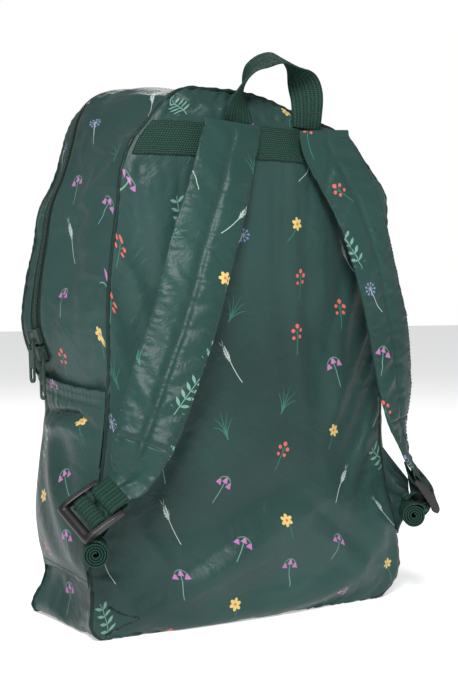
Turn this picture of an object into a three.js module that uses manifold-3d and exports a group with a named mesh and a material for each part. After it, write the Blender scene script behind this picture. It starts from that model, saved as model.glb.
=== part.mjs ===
// A packable backpack of thin coated cloth, standing closed on its base, in millimetres with +Z up.
// The origin is in the middle of the base, on the surface that it stands on. The harness faces -Y.
import * as THREE from "three";
import { mergeVertices } from "three/addons/utils/BufferGeometryUtils.js";
import Module from "manifold-3d";

const wasm = await Module();
wasm.setup();

// Driving sizes of the body
const body_height = 405;
const half_width = 135;
const seam_depth = 100;
const back_crown = 17;
const front_crown = 16;
const cloth = 1.6;
const seam_gap = 0.3;
const seat_gap = 0.7;
const top_radius_left = 55;
const top_radius_right = 70;
const bottom_radius_left = 14;
const bottom_radius_right = 26;
const top_slump = 0.055;
const edge_drop = 0.03;

// Driving sizes of the zip
const zip_end_height = 194;
const zip_centre = 34;
const zip_slot = 12;
const coil_width = 5.5;
const coil_height = 1.6;
const slider_length = 11;
const slider_width = 9;
const slider_crown = 1.6;
const slider_spacing = 13;
const bail_bar = 1;
const bail_width = 1.6;
const bail_clear = 2.6;
const bail_offset = 3.6;
const pull_length = 32;
const pull_width = 6.4;
const pull_thick = 1.4;
const pull_eye = 6.5;

// Driving sizes of the pockets
const pocket_foot = 37;
const pocket_hem_drop = 10;
const pocket_height = zip_end_height - pocket_hem_drop - pocket_foot;
const pocket_bulge = 13;
const pocket_hem_bulge = 5;

// Driving sizes of the webbing and the harness
const webbing_width = 25;
const webbing = 1.3;
const yoke_drop = 63;
const yoke_foot = body_height - yoke_drop;
const handle_rise = 50;
const handle_half_span = 30;
const strap_width = 47;
const strap_thick = 7;
const strap_reach = 46;
const lock_length = 33;
const lock_width = 34;
const lock_bar = 3.2;
const lock_rail = 3.6;
const tab_foot = 50;
const tab_height = 72;
const tab_thick = 1.8;
const roll_radius = 9.4;
const roll_turns = 4;
const roll_sides = 12;
const roll_clear = 0.5;

// How finely the surfaces are divided
const corner_steps = 4;
const lower_steps = 8;
const upper_steps = 6;
const shoulder_steps = 6;
const top_steps = 12;
const smallest = 1e-6;

// Width of each side up its height, as shares of half_width, at the back seam, the middle and the front seam
const width_rows = {
  left: [
    { up: 0.0, back: 1.08, middle: 1.1, front: 1.13 },
    { up: 0.07, back: 1.06, middle: 1.01, front: 1.0 },
    { up: 0.14, back: 1.075, middle: 1.03, front: 1.025 },
    { up: 0.2, back: 1.06, middle: 1.03, front: 1.035 },
    { up: 0.3, back: 1.0, middle: 0.99, front: 1.005 },
    { up: 0.4, back: 0.97, middle: 0.96, front: 0.985 },
    { up: 0.48, back: 0.962, middle: 1.0, front: 1.07 },
    { up: 0.55, back: 0.965, middle: 1.05, front: 1.13 },
    { up: 0.63, back: 0.958, middle: 1.045, front: 1.105 },
    { up: 0.7, back: 0.935, middle: 1.02, front: 1.06 },
    { up: 0.77, back: 0.907, middle: 0.985, front: 1.025 },
    { up: 0.83, back: 0.89, middle: 0.93, front: 0.94 },
    { up: 0.89, back: 0.83, middle: 0.885, front: 0.89 },
    { up: 0.94, back: 0.76, middle: 0.885, front: 0.905 },
    { up: 1.0, back: 0.74, middle: 0.91, front: 0.96 },
  ],
  right: [
    { up: 0.0, back: 0.93, middle: 0.96, front: 0.97 },
    { up: 0.05, back: 0.965, middle: 0.97, front: 0.99 },
    { up: 0.1, back: 0.955, middle: 0.97, front: 1.0 },
    { up: 0.16, back: 0.915, middle: 0.96, front: 0.99 },
    { up: 0.24, back: 0.85, middle: 0.93, front: 0.97 },
    { up: 0.33, back: 0.815, middle: 0.9, front: 0.955 },
    { up: 0.43, back: 0.82, middle: 0.91, front: 0.97 },
    { up: 0.55, back: 0.845, middle: 0.95, front: 1.02 },
    { up: 0.66, back: 0.86, middle: 0.96, front: 1.03 },
    { up: 0.76, back: 0.862, middle: 0.94, front: 1.0 },
    { up: 0.84, back: 0.85, middle: 0.91, front: 0.95 },
    { up: 0.89, back: 0.79, middle: 0.88, front: 0.91 },
    { up: 0.94, back: 0.755, middle: 0.87, front: 0.9 },
    { up: 1.0, back: 0.8, middle: 0.9, front: 0.92 },
  ],
};

// Folds and dents of the panels: place and size as shares of half_width and body_height, depth of the crown
const back_folds = [
  { across: -0.45, up: 0.2, long: 0.5, wide: 0.035, deep: 0.3, turn: 24 },
  { across: -0.3, up: 0.13, long: 0.55, wide: 0.04, deep: -0.35, turn: 20 },
  { across: -0.1, up: 0.06, long: 0.5, wide: 0.03, deep: 0.3, turn: 12 },
  { across: 0.55, up: 0.3, long: 0.4, wide: 0.05, deep: 0.25, turn: -60 },
  { across: 0.2, up: 0.5, long: 0.4, wide: 0.06, deep: 0.3, turn: 75 },
  { across: 0.75, up: 0.45, long: 0.3, wide: 0.035, deep: 0.3, turn: 80 },
];
const front_folds = [
  { across: -0.4, up: 0.25, long: 0.5, wide: 0.04, deep: 0.3, turn: -24 },
  { across: 0.35, up: 0.2, long: 0.5, wide: 0.04, deep: 0.3, turn: 26 },
  { across: 0.0, up: 0.55, long: 0.5, wide: 0.06, deep: 0.3, turn: 80 },
  { across: 0.5, up: 0.75, long: 0.35, wide: 0.035, deep: 0.3, turn: -40 },
  { across: -0.5, up: 0.78, long: 0.35, wide: 0.035, deep: 0.3, turn: 40 },
];

// Folds of the gusset: along as a share of its length, across of seam_depth, depth of cloth_fold
const gusset_fold = 5;
const gusset_folds = [
  { along: 0.16, across: 0.1, long: 0.05, wide: 0.16, deep: 0.5 },
  { along: 0.255, across: -0.2, long: 0.02, wide: 0.3, deep: 0.9 },
  { along: 0.31, across: 0.05, long: 0.02, wide: 0.25, deep: 0.7 },
  { along: 0.37, across: -0.25, long: 0.015, wide: 0.3, deep: 1.1 },
  { along: 0.42, across: 0.0, long: 0.014, wide: 0.25, deep: 0.9 },
  { along: 0.475, across: -0.2, long: 0.016, wide: 0.28, deep: 1.2 },
  { along: 0.53, across: 0.0, long: 0.018, wide: 0.25, deep: 1.0 },
  { along: 0.585, across: -0.22, long: 0.014, wide: 0.3, deep: 1.1 },
  { along: 0.64, across: 0.05, long: 0.018, wide: 0.25, deep: 0.9 },
  { along: 0.7, across: -0.2, long: 0.02, wide: 0.3, deep: 0.8 },
  { along: 0.84, across: 0.1, long: 0.05, wide: 0.16, deep: 0.5 },
];

// Stations of the gusset through the depth, as shares of seam_depth, with the slot added between them
const gusset_rows = [-0.34, -0.18, 0, 0.14];

// Each shoulder strap from its top to its end: across of half_width, up of body_height, out of strap_reach
// past the back seam, width and thick of the strap's own, turn in degrees about the vertical
const strap_rows = {
  left: [
    { across: -0.3, up: 0.907, out: 0.44, width: 0.98, thick: 0.45, turn: 0 },
    { across: -0.305, up: 0.885, out: 0.46, width: 0.98, thick: 0.5, turn: 0 },
    { across: -0.335, up: 0.855, out: 0.48, width: 1.0, thick: 0.55, turn: 0 },
    { across: -0.392, up: 0.79, out: 0.53, width: 1.02, thick: 0.8, turn: -4 },
    { across: -0.515, up: 0.686, out: 0.64, width: 1.02, thick: 1.0, turn: -12 },
    { across: -0.65, up: 0.556, out: 0.74, width: 1.0, thick: 1.0, turn: -20 },
    { across: -0.76, up: 0.471, out: 0.79, width: 1.0, thick: 1.0, turn: -25 },
    { across: -0.868, up: 0.381, out: 0.83, width: 0.95, thick: 0.9, turn: -30 },
    { across: -0.925, up: 0.34, out: 0.85, width: 0.86, thick: 0.7, turn: -34 },
  ],
  right: [
    { across: 0.302, up: 0.905, out: 0.44, width: 0.95, thick: 0.45, turn: 0 },
    { across: 0.31, up: 0.88, out: 0.46, width: 0.97, thick: 0.5, turn: 0 },
    { across: 0.395, up: 0.835, out: 0.49, width: 1.0, thick: 0.6, turn: 0 },
    { across: 0.505, up: 0.77, out: 0.55, width: 1.02, thick: 0.85, turn: 2 },
    { across: 0.578, up: 0.69, out: 0.63, width: 1.0, thick: 1.0, turn: 9 },
    { across: 0.64, up: 0.607, out: 0.69, width: 1.0, thick: 1.0, turn: 12 },
    { across: 0.688, up: 0.545, out: 0.7, width: 1.0, thick: 1.0, turn: 12 },
    { across: 0.72, up: 0.47, out: 0.72, width: 0.97, thick: 1.0, turn: 15 },
    { across: 0.745, up: 0.405, out: 0.73, width: 0.93, thick: 0.9, turn: 22 },
    { across: 0.764, up: 0.345, out: 0.735, width: 0.84, thick: 0.7, turn: 36 },
  ],
};

// Each buckle: its centre as shares of half_width, strap_reach and body_height, and two directions of its own
const lock_places = {
  left: {
    across: -1.156, out: 0.565, up: 0.237,
    along: new THREE.Vector3(-0.8, 0.16, -0.57),
    wide: new THREE.Vector3(0.26, -0.77, -0.58),
    roll_axis: new THREE.Vector3(-0.4, -0.9, 0),
    roll: { along: 0.4, wide: 0.49, out: -0.55, start: 60, spin: -1 },
    tip: { along: 0, wide: -0.15, out: -0.68 },
    tip_down: new THREE.Vector3(0.32, -0.6, -0.7),
  },
  right: {
    across: 0.925, out: 0.837, up: 0.227,
    along: new THREE.Vector3(0.6, -0.1, -0.79),
    wide: new THREE.Vector3(0.4, 0.8, 0.4),
    roll_axis: new THREE.Vector3(0.52, 0.85, 0),
    roll: { along: 0.18, wide: -0.45, out: -0.51, start: 90, spin: 1 },
    tip: { along: 0.17, wide: 0.47, out: -0.45 },
    tip_down: new THREE.Vector3(-0.15, -0.35, -0.92),
  },
};

const colours = {
  cloth: 0x3c524f,
  strap: 0x48696a,
  webbing: 0x26423c,
  plastic: 0x211c1e,
  zip: 0x1f3733,
  pull: 0x2c3f3a,
};

const back_seam = -seam_depth / 2;
const front_seam = seam_depth / 2;
const slot_back = zip_centre - zip_slot / 2;
const slot_front = zip_centre + zip_slot / 2;

// Numbers and tables
function smooth(low, high, value) {
  const share = Math.min(Math.max((value - low) / (high - low), 0), 1);
  return share * share * (3 - 2 * share);
}

function slope_at(rows, key, column, index) {
  const before = rows[Math.max(index - 1, 0)];
  const after = rows[Math.min(index + 1, rows.length - 1)];
  return (after[column] - before[column]) / (after[key] - before[key]);
}

function table_value(rows, key, column, at) {
  let index = 0;
  while (index < rows.length - 2 && rows[index + 1][key] < at) index += 1;
  const low = rows[index];
  const high = rows[index + 1];
  const span = high[key] - low[key];
  const share = Math.min(Math.max((at - low[key]) / span, 0), 1);
  const rise = slope_at(rows, key, column, index) * span;
  const fall = slope_at(rows, key, column, index + 1) * span;
  const square = share * share;
  const cube = square * share;
  return (
    low[column] * (2 * cube - 3 * square + 1) +
    rise * (cube - 2 * square + share) +
    high[column] * (3 * square - 2 * cube) +
    fall * (cube - square)
  );
}

function steps(from, to, count) {
  return Array.from({ length: count + 1 }, (_, i) => from + ((to - from) * i) / count);
}

// The body's outline
function width_share(sign, z, y) {
  const rows = sign < 0 ? width_rows.left : width_rows.right;
  const up = z / body_height;
  const depth = (2 * y) / seam_depth;
  const back = table_value(rows, "up", "back", up);
  const middle = table_value(rows, "up", "middle", up);
  const front = table_value(rows, "up", "front", up);
  return (
    (back * depth * (depth - 1)) / 2 +
    middle * (1 - depth * depth) +
    (front * depth * (depth + 1)) / 2
  );
}

function top_radius(sign) {
  return sign < 0 ? top_radius_left : top_radius_right;
}

function bottom_radius(sign) {
  return sign < 0 ? bottom_radius_left : bottom_radius_right;
}

function plain_half_width(z, sign) {
  const upper = top_radius(sign);
  const lower = bottom_radius(sign);
  const above = z - (body_height - upper);
  const below = lower - z;
  if (above > 0) return half_width - upper + Math.sqrt(Math.max(upper ** 2 - above ** 2, 0));
  if (below > 0) return half_width - lower + Math.sqrt(Math.max(lower ** 2 - below ** 2, 0));
  return half_width;
}

function side_x(sign, z, y) {
  return sign * plain_half_width(z, sign) * width_share(sign, z, y);
}

// The cloth at the top hangs lower towards the right and towards both seams.
function settle_factor(x, z, y) {
  const up = z / body_height;
  const slump = top_slump * smooth(-0.2 * half_width, 0.55 * half_width, x) * up ** 3;
  const drop = edge_drop * ((2 * y) / seam_depth) ** 2 * up ** 2;
  return (1 - slump) * (1 - drop);
}

function settled(x, z, y) {
  return z * settle_factor(x, z, y);
}

function unsettled(x, z, y) {
  let flat = z;
  for (let turn = 0; turn < 6; turn += 1) flat = z / settle_factor(x, flat, y);
  return flat;
}

function side_levels(sign) {
  const radius = top_radius(sign);
  const foot = bottom_radius(sign);
  const corner = steps(0, Math.PI / 2, corner_steps).map((a) => foot * (1 - Math.cos(a)));
  const lower = steps(foot, zip_end_height, lower_steps).slice(1);
  const upper = steps(zip_end_height, body_height - radius, upper_steps).slice(1);
  const shoulder = steps(0, Math.PI / 2, shoulder_steps).slice(1);
  return [...corner, ...lower, ...upper, ...shoulder.map((a) => body_height - radius + radius * Math.sin(a))];
}

const levels = { left: side_levels(-1), right: side_levels(1) };
const level_count = levels.left.length;
const loop_count = 2 * level_count + top_steps - 1;
const zip_first = corner_steps + lower_steps;
const zip_last = loop_count - 1 - zip_first;

function top_x(share, y) {
  const left = side_x(-1, body_height, y);
  const right = side_x(1, body_height, y);
  return left + (right - left) * share;
}

// Station number of the loop up the left side, over the top and down the right side
function flat_loop_point(station, y) {
  if (station < level_count) {
    const z = levels.left[station];
    return [side_x(-1, z, y), z];
  }
  if (station < level_count + top_steps - 1) {
    return [top_x((station - level_count + 1) / top_steps, y), body_height];
  }
  const z = levels.right[loop_count - 1 - station];
  return [side_x(1, z, y), z];
}

function loop_point(station, y) {
  const [x, z] = flat_loop_point(station, y);
  return new THREE.Vector3(x, y, settled(x, z, y));
}

function loop_normal(station, y) {
  if (station === 0 || station === loop_count - 1) return new THREE.Vector3(0, 0, -1);
  const before = loop_point(station - 1, y);
  const after = loop_point(station + 1, y);
  return new THREE.Vector3(before.z - after.z, 0, after.x - before.x).normalize();
}

function gusset_dent(station, y) {
  const along = station / (loop_count - 1);
  const across = y / seam_depth;
  const edges = 1 - ((2 * y) / seam_depth) ** 4;
  const free = smooth(slot_back, slot_back - zip_slot, y);
  let depth = 0;
  for (const fold of gusset_folds) {
    const a = (along - fold.along) / fold.long;
    const b = (across - fold.across) / fold.wide;
    depth += gusset_fold * fold.deep * Math.exp(-a * a - b * b);
  }
  return depth * edges * free;
}

function gusset_point(station, y, out) {
  const normal = loop_normal(station, y);
  return loop_point(station, y).addScaledVector(normal, out - gusset_dent(station, y));
}

// Closed solid between two grids of points, over the cells that are kept
function shell(outer, inner, kept) {
  const rows = outer.length;
  const columns = outer[0].length;
  const positions = [];
  for (const grid of [outer, inner]) {
    for (const row of grid) {
      for (const point of row) positions.push(point.x, point.y, point.z);
    }
  }
  const vertex = (i, j, side) => side * rows * columns + i * columns + j;
  const is_kept = (i, j) => i >= 0 && j >= 0 && i < rows - 1 && j < columns - 1 && kept(i, j);
  const faces = [];
  const quad = (a, b, c, d) => faces.push(a, b, c, a, c, d);
  for (let i = 0; i < rows - 1; i += 1) {
    for (let j = 0; j < columns - 1; j += 1) {
      if (!is_kept(i, j)) continue;
      const o = [vertex(i, j, 0), vertex(i + 1, j, 0), vertex(i + 1, j + 1, 0), vertex(i, j + 1, 0)];
      const n = [vertex(i, j, 1), vertex(i + 1, j, 1), vertex(i + 1, j + 1, 1), vertex(i, j + 1, 1)];
      quad(o[0], o[1], o[2], o[3]);
      quad(n[3], n[2], n[1], n[0]);
      if (!is_kept(i, j - 1)) quad(o[1], o[0], n[0], n[1]);
      if (!is_kept(i + 1, j)) quad(o[2], o[1], n[1], n[2]);
      if (!is_kept(i, j + 1)) quad(o[3], o[2], n[2], n[3]);
      if (!is_kept(i - 1, j)) quad(o[0], o[3], n[3], n[0]);
    }
  }
  return facing_out(positions, faces);
}

function volume_of(positions, faces) {
  let volume = 0;
  const corner = (index) => new THREE.Vector3().fromArray(positions, index * 3);
  for (let i = 0; i < faces.length; i += 3) {
    volume += corner(faces[i]).dot(corner(faces[i + 1]).cross(corner(faces[i + 2]))) / 6;
  }
  return volume;
}

function facing_out(positions, faces) {
  if (volume_of(positions, faces) < 0) faces.reverse();
  const geometry = new THREE.BufferGeometry();
  geometry.setAttribute("position", new THREE.Float32BufferAttribute(positions, 3));
  geometry.setIndex(faces);
  return geometry;
}

// Closed solid swept through stations: point, width direction, width and thickness
const flat_section = [[-0.5, -0.5], [0.5, -0.5], [0.5, 0.5], [-0.5, 0.5]];
const soft_section = [
  [-0.5, 0], [-0.3, -0.5], [0, -0.36], [0.3, -0.5], [0.5, 0], [0.3, 0.5], [0, 0.36], [-0.3, 0.5],
];

function ribbon(stations, section, divisions) {
  const curve = new THREE.CatmullRomCurve3(stations.map((s) => s.point), false, "centripetal");
  const last = stations.length - 1;
  const positions = [];
  for (let i = 0; i <= divisions; i += 1) {
    const at = i / divisions;
    const spot = Math.min(at * last, last - smallest);
    const low = stations[Math.floor(spot)];
    const high = stations[Math.floor(spot) + 1];
    const share = spot - Math.floor(spot);
    const point = curve.getPoint(at);
    const tangent = curve.getTangent(at);
    const wide = low.wide.clone().lerp(high.wide, share);
    wide.addScaledVector(tangent, -wide.dot(tangent)).normalize();
    const thick = new THREE.Vector3().crossVectors(tangent, wide).normalize();
    const width = low.width + (high.width - low.width) * share;
    const thickness = low.thick + (high.thick - low.thick) * share;
    for (const [u, v] of section) {
      const corner = point.clone().addScaledVector(wide, u * width).addScaledVector(thick, v * thickness);
      positions.push(corner.x, corner.y, corner.z);
    }
  }
  const sides = section.length;
  const faces = [];
  for (let i = 0; i < divisions; i += 1) {
    for (let k = 0; k < sides; k += 1) {
      const next = (k + 1) % sides;
      const a = i * sides + k;
      const b = i * sides + next;
      faces.push(a, b, b + sides, a, b + sides, a + sides);
    }
  }
  for (let k = 1; k < sides - 1; k += 1) {
    faces.push(0, k + 1, k);
    const end = divisions * sides;
    faces.push(end, end + k, end + k + 1);
  }
  return facing_out(positions, faces);
}

// Joins and cuts
function solid_of(geometry) {
  const bare = geometry.clone();
  bare.deleteAttribute("normal");
  bare.deleteAttribute("uv");
  const merged = mergeVertices(bare, 1e-4);
  return new wasm.Manifold(
    new wasm.Mesh({
      numProp: 3,
      vertProperties: merged.attributes.position.array,
      triVerts: new Uint32Array(merged.index.array),
    }),
  );
}

function geometry_of(solid) {
  const mesh = solid.getMesh();
  const geometry = new THREE.BufferGeometry();
  geometry.setAttribute("position", new THREE.BufferAttribute(mesh.vertProperties, 3));
  geometry.setIndex(new THREE.BufferAttribute(mesh.triVerts, 1));
  return geometry;
}

function joined(geometries) {
  return geometry_of(geometries.map(solid_of).reduce((whole, piece) => whole.add(piece)));
}

function cut(geometry, tool) {
  return geometry_of(solid_of(geometry).subtract(solid_of(tool)));
}

function block(size, centre) {
  return new THREE.BoxGeometry(size[0], size[1], size[2]).translate(centre[0], centre[1], centre[2]);
}

const pack = new THREE.Group();

function add(name, geometry, colour, roughness) {
  const material = new THREE.MeshStandardMaterial({ color: colour, roughness, metalness: 0 });
  const mesh = new THREE.Mesh(geometry, material);
  mesh.name = name;
  pack.add(mesh);
  return mesh;
}

// Back and front panels
function fold_depth(folds, x, z) {
  let depth = 0;
  for (const fold of folds) {
    const turn = THREE.MathUtils.degToRad(fold.turn);
    const right = x - fold.across * half_width;
    const up = z - fold.up * body_height;
    const along = (right * Math.cos(turn) + up * Math.sin(turn)) / (fold.long * half_width);
    const across = (up * Math.cos(turn) - right * Math.sin(turn)) / (fold.wide * body_height);
    depth += fold.deep * Math.exp(-along * along - across * across);
  }
  return depth;
}

function crown_share(x, flat, y, folds) {
  const left = side_x(-1, flat, y);
  const right = side_x(1, flat, y);
  const across = Math.min(Math.abs((2 * (x - left)) / (right - left) - 1), 1);
  const height = Math.min(Math.max((2 * flat) / body_height - 1, -1), 1);
  const up = Math.abs(height);
  const bowl = (1 - across ** 2.6) * (1 - up ** (height < 0 ? 12 : 6));
  const rim = (1 - across ** 6) * (1 - up ** 8);
  return bowl - fold_depth(folds, x, flat) * rim;
}

function panel(seam, crown, folds) {
  const side = Math.sign(seam);
  const outer = [];
  const inner = [];
  for (let k = 0; k < level_count; k += 1) {
    const outer_row = [];
    const inner_row = [];
    const left = side_x(-1, levels.left[k], seam);
    const right = side_x(1, levels.right[k], seam);
    for (const share of steps(0, 1, top_steps)) {
      const x = left + (right - left) * share;
      const flat = levels.left[k] + (levels.right[k] - levels.left[k]) * share;
      const y = seam + side * (cloth + crown * crown_share(x, flat, seam, folds));
      const z = settled(x, flat, seam);
      outer_row.push(new THREE.Vector3(x, y, z));
      inner_row.push(new THREE.Vector3(x, y - side * cloth, z));
    }
    outer.push(outer_row);
    inner.push(inner_row);
  }
  return shell(outer, inner, () => true);
}

function back_surface(x, z) {
  const flat = unsettled(x, z, back_seam);
  return back_seam - cloth - back_crown * crown_share(x, flat, back_seam, back_folds);
}

add("back_panel", panel(back_seam, back_crown, back_folds), colours.cloth, 0.45);
add("front_panel", panel(front_seam, front_crown, front_folds), colours.cloth, 0.45);

// Gusset with the zip's slot, and the base between its ends
const gusset_back = back_seam + seam_gap;
const gusset_front = front_seam - seam_gap;
const depth_stations = [gusset_back, ...gusset_rows.map((share) => share * seam_depth), slot_back, slot_front, gusset_front];
const slot_row = depth_stations.indexOf(slot_back);

function band_grid(rows, first, last, out) {
  const grid = [];
  for (const y of rows) {
    const row = [];
    for (let station = first; station <= last; station += 1) row.push(gusset_point(station, y, out));
    grid.push(row);
  }
  return grid;
}

function gusset() {
  const outer = band_grid(depth_stations, 0, loop_count - 1, 0);
  const inner = band_grid(depth_stations, 0, loop_count - 1, -cloth);
  const in_slot = (row, station) => row === slot_row && station >= zip_first && station < zip_last;
  return shell(outer, inner, (row, station) => !in_slot(row, station));
}

function base_panel() {
  const grid = (z) =>
    depth_stations.map((y) => {
      const left = side_x(-1, 0, y) + seam_gap;
      const right = side_x(1, 0, y) - seam_gap;
      return steps(left, right, 8).map((x) => new THREE.Vector3(x, y, z));
    });
  return shell(grid(0), grid(cloth), () => true);
}

add("gusset", gusset(), colours.cloth, 0.45);
add("base_panel", base_panel(), colours.cloth, 0.5);

// Zip tape in the slot and the coil on it
function zip_band(half, low, high) {
  const rows = [zip_centre - half, zip_centre + half];
  const outer = band_grid(rows, zip_first, zip_last, high);
  const inner = band_grid(rows, zip_first, zip_last, low);
  return { outer, inner };
}

function shortened(grid, by) {
  for (const row of grid) {
    const first = row[1].clone().sub(row[0]).setLength(by);
    const last = row[row.length - 2].clone().sub(row[row.length - 1]).setLength(by);
    row[0].add(first);
    row[row.length - 1].add(last);
  }
  return grid;
}

function zip_strip(half, low, high, end_gap) {
  const band = zip_band(half, low, high);
  return shell(shortened(band.outer, end_gap), shortened(band.inner, end_gap), () => true);
}

const coil_foot = seam_gap;
const coil_top = coil_foot + coil_height;
add("zip_tape", zip_strip(zip_slot / 2 - seam_gap, -cloth, 0, seam_gap), colours.zip, 0.7);
add("zip_coil", zip_strip(coil_width / 2, coil_foot, coil_top, 2 * seam_gap), colours.zip, 0.5);

// A point of the left side between two neighbouring stations, on the flat facet that spans them
function facet_point(height, y) {
  let index = zip_first;
  while (levels.left[index + 1] < height) index += 1;
  const share = (height - levels.left[index]) / (levels.left[index + 1] - levels.left[index]);
  return loop_point(index, y).lerp(loop_point(index + 1, y), share);
}

// Sliders and their pulls, in a frame whose X points out of the bag, Y across the zip and Z up
function slider_frame(height) {
  const across = facet_point(height, zip_centre - zip_slot / 4).sub(facet_point(height, zip_centre + zip_slot / 4));
  const half = slider_length / 2;
  const along = facet_point(height + half, zip_centre).sub(facet_point(height - half, zip_centre));
  const up = along.normalize();
  const wide = across.addScaledVector(up, -across.dot(up)).normalize();
  const out = new THREE.Vector3().crossVectors(wide, up).normalize();
  const frame = new THREE.Matrix4().makeBasis(out, wide, up);
  frame.setPosition(facet_point(height, zip_centre));
  return frame;
}

const slider_foot = seam_gap;
const slider_top = coil_top + seam_gap + slider_crown;
const pull_axis_out = slider_top + bail_clear / 2;
const post_reach = slider_length / 2 - 1;
const pull_axis_up = -(post_reach - bail_bar - seam_gap - pull_thick * Math.SQRT1_2);

function slider(shift) {
  const body = block(
    [slider_top - slider_foot, slider_width, slider_length],
    [(slider_top + slider_foot) / 2, 0, 0],
  );
  const channel = block(
    [2 * (coil_top + seam_gap), coil_width + 4 * seam_gap, 2 * slider_length],
    [0, 0, 0],
  );
  const outer_bail = block(
    [bail_clear + bail_bar + slider_crown, bail_width, 2 * post_reach],
    [slider_top + (bail_clear + bail_bar - slider_crown) / 2, shift, 0],
  );
  const hole = block(
    [bail_clear, 2 * bail_width, 2 * (post_reach - bail_bar)],
    [slider_top + bail_clear / 2, shift, 0],
  );
  return joined([cut(body, channel), cut(outer_bail, hole)]);
}

function rounded_slot(path, half, low, high) {
  path.moveTo(-half, low + half);
  path.lineTo(-half, high - half);
  path.absarc(0, high - half, half, Math.PI, 0, true);
  path.lineTo(half, low + half);
  path.absarc(0, low + half, half, 0, -Math.PI, true);
  return path;
}

function pull() {
  const half = pull_width / 2;
  const bar = pull_thick / 2;
  const eye_half = bail_width / 2 + 1;
  const foot = -pull_length;
  const outline = rounded_slot(new THREE.Shape(), half, foot, bar + half - 1);
  outline.autoClose = true;
  const plate = new THREE.ExtrudeGeometry(outline, { depth: pull_thick, bevelEnabled: false, curveSegments: 5 });
  const above = block([3 * pull_width, pull_width, 3 * pull_thick], [0, bar + pull_width / 2, bar]);
  const eye = block([2 * eye_half, pull_eye, 3 * pull_thick], [0, -bar - pull_eye / 2, bar]);
  const end_hole = new THREE.ExtrudeGeometry(
    rounded_slot(new THREE.Shape(), half * 0.45, foot + 2.4, foot + 2.4 + pull_length * 0.28),
    { depth: 3 * pull_thick, bevelEnabled: false, curveSegments: 4 },
  ).translate(0, 0, -pull_thick);
  const shape = cut(cut(cut(plate, above), eye), end_hole);
  return shape.translate(0, 0, -bar).rotateX(Math.PI / 2).rotateZ(Math.PI / 2);
}

// The pull hangs plumb from the bail, turned about the slider's own width
function hanging_frame(frame, shift) {
  const axis = new THREE.Vector3(pull_axis_out, shift, pull_axis_up).applyMatrix4(frame);
  const wide = new THREE.Vector3().setFromMatrixColumn(frame, 1);
  const out = new THREE.Vector3().crossVectors(wide, new THREE.Vector3(0, 0, 1)).normalize();
  const up = new THREE.Vector3().crossVectors(out, wide);
  return new THREE.Matrix4().makeBasis(out, wide, up).setPosition(axis);
}

// The upper slider's bail sits towards the front and the lower one's towards the back
const slider_places = [
  { height: zip_end_height + slider_length / 2 + 1 + slider_spacing, shift: -bail_offset },
  { height: zip_end_height + slider_length / 2 + 1, shift: bail_offset },
];

slider_places.forEach(({ height, shift }, index) => {
  const frame = slider_frame(height);
  const body = add(`zip_slider_${index + 1}`, slider(shift), colours.pull, 0.4);
  body.applyMatrix4(frame);
  const tag = add(`zip_pull_${index + 1}`, pull(), colours.pull, 0.4);
  tag.applyMatrix4(hanging_frame(frame, shift));
});

// Side pockets, open at the hem
const pocket_rows = [
  { up: 0, out: 0.0 },
  { up: 0.12, out: 0.5 },
  { up: 0.3, out: 0.9 },
  { up: 0.5, out: 1.0 },
  { up: 0.7, out: 0.92 },
  { up: 0.86, out: 0.78 },
  { up: 1.0, out: 0.72 },
];

function pocket_out(up, share) {
  const arch = Math.sin(Math.PI * share) ** 0.6;
  const gathers = 0.06 * Math.sin(share * Math.PI * 14) * smooth(0.75, 1, up);
  const hem = (table_value(pocket_rows, "up", "out", up) + gathers) * pocket_bulge;
  const pulled = hem + (pocket_hem_bulge - hem) * smooth(0.8, 1, up);
  return pulled * arch;
}

function pocket(sign) {
  const back = gusset_back + 1;
  const front = gusset_front - 1;
  const outer = [];
  const inner = [];
  for (const up of steps(0, 1, 9)) {
    const outer_row = [];
    const inner_row = [];
    const flat = pocket_foot + up * pocket_height;
    for (const share of steps(0, 1, 14)) {
      const y = back + (front - back) * share;
      const out = 1.5 * seat_gap + pocket_out(up, share);
      const x = side_x(sign, flat, y) + sign * out;
      outer_row.push(new THREE.Vector3(x + sign * cloth, y, flat));
      inner_row.push(new THREE.Vector3(x, y, flat));
    }
    outer.push(outer_row);
    inner.push(inner_row);
  }
  return shell(outer, inner, () => true);
}

add("side_pocket_left", pocket(-1), colours.cloth, 0.45);
add("side_pocket_right", pocket(1), colours.cloth, 0.45);

// Webbing band across the top of the back panel, from rim to rim at a given height
function rim_x(sign, z) {
  let x = side_x(sign, z, back_seam);
  for (let turn = 0; turn < 8; turn += 1) x = side_x(sign, unsettled(x, z, back_seam), back_seam);
  return x;
}

function yoke() {
  const outer = [];
  const inner = [];
  for (const z of steps(yoke_foot, yoke_foot + webbing_width, 2)) {
    const left = rim_x(-1, z);
    const right = rim_x(1, z);
    const outer_row = [];
    const inner_row = [];
    for (const share of steps(0.02, 0.98, 24)) {
      const x = left + (right - left) * share;
      const y = back_surface(x, z) - seat_gap;
      outer_row.push(new THREE.Vector3(x, y - webbing, z));
      inner_row.push(new THREE.Vector3(x, y, z));
    }
    outer.push(outer_row);
    inner.push(inner_row);
  }
  return shell(outer, inner, () => true);
}

add("yoke_webbing", yoke(), colours.webbing, 0.75);

// Haul handle: up of handle_rise, across of handle_half_span, out past the panel, twist in degrees
const handle_rows = [
  { up: 0.0, across: -1.02, out: 0, turn: 0 },
  { up: 0.22, across: -1.02, out: 1, turn: -22 },
  { up: 0.52, across: -0.9, out: 2, turn: -58 },
  { up: 0.82, across: -0.55, out: 2, turn: -74 },
  { up: 1.0, across: 0.12, out: 1, turn: -90 },
  { up: 0.86, across: 0.72, out: 0, turn: -118 },
  { up: 0.55, across: 1.04, out: 0, turn: -146 },
  { up: 0.25, across: 1.08, out: 0, turn: -168 },
  { up: 0.0, across: 1.05, out: 0, turn: -180 },
];

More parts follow.
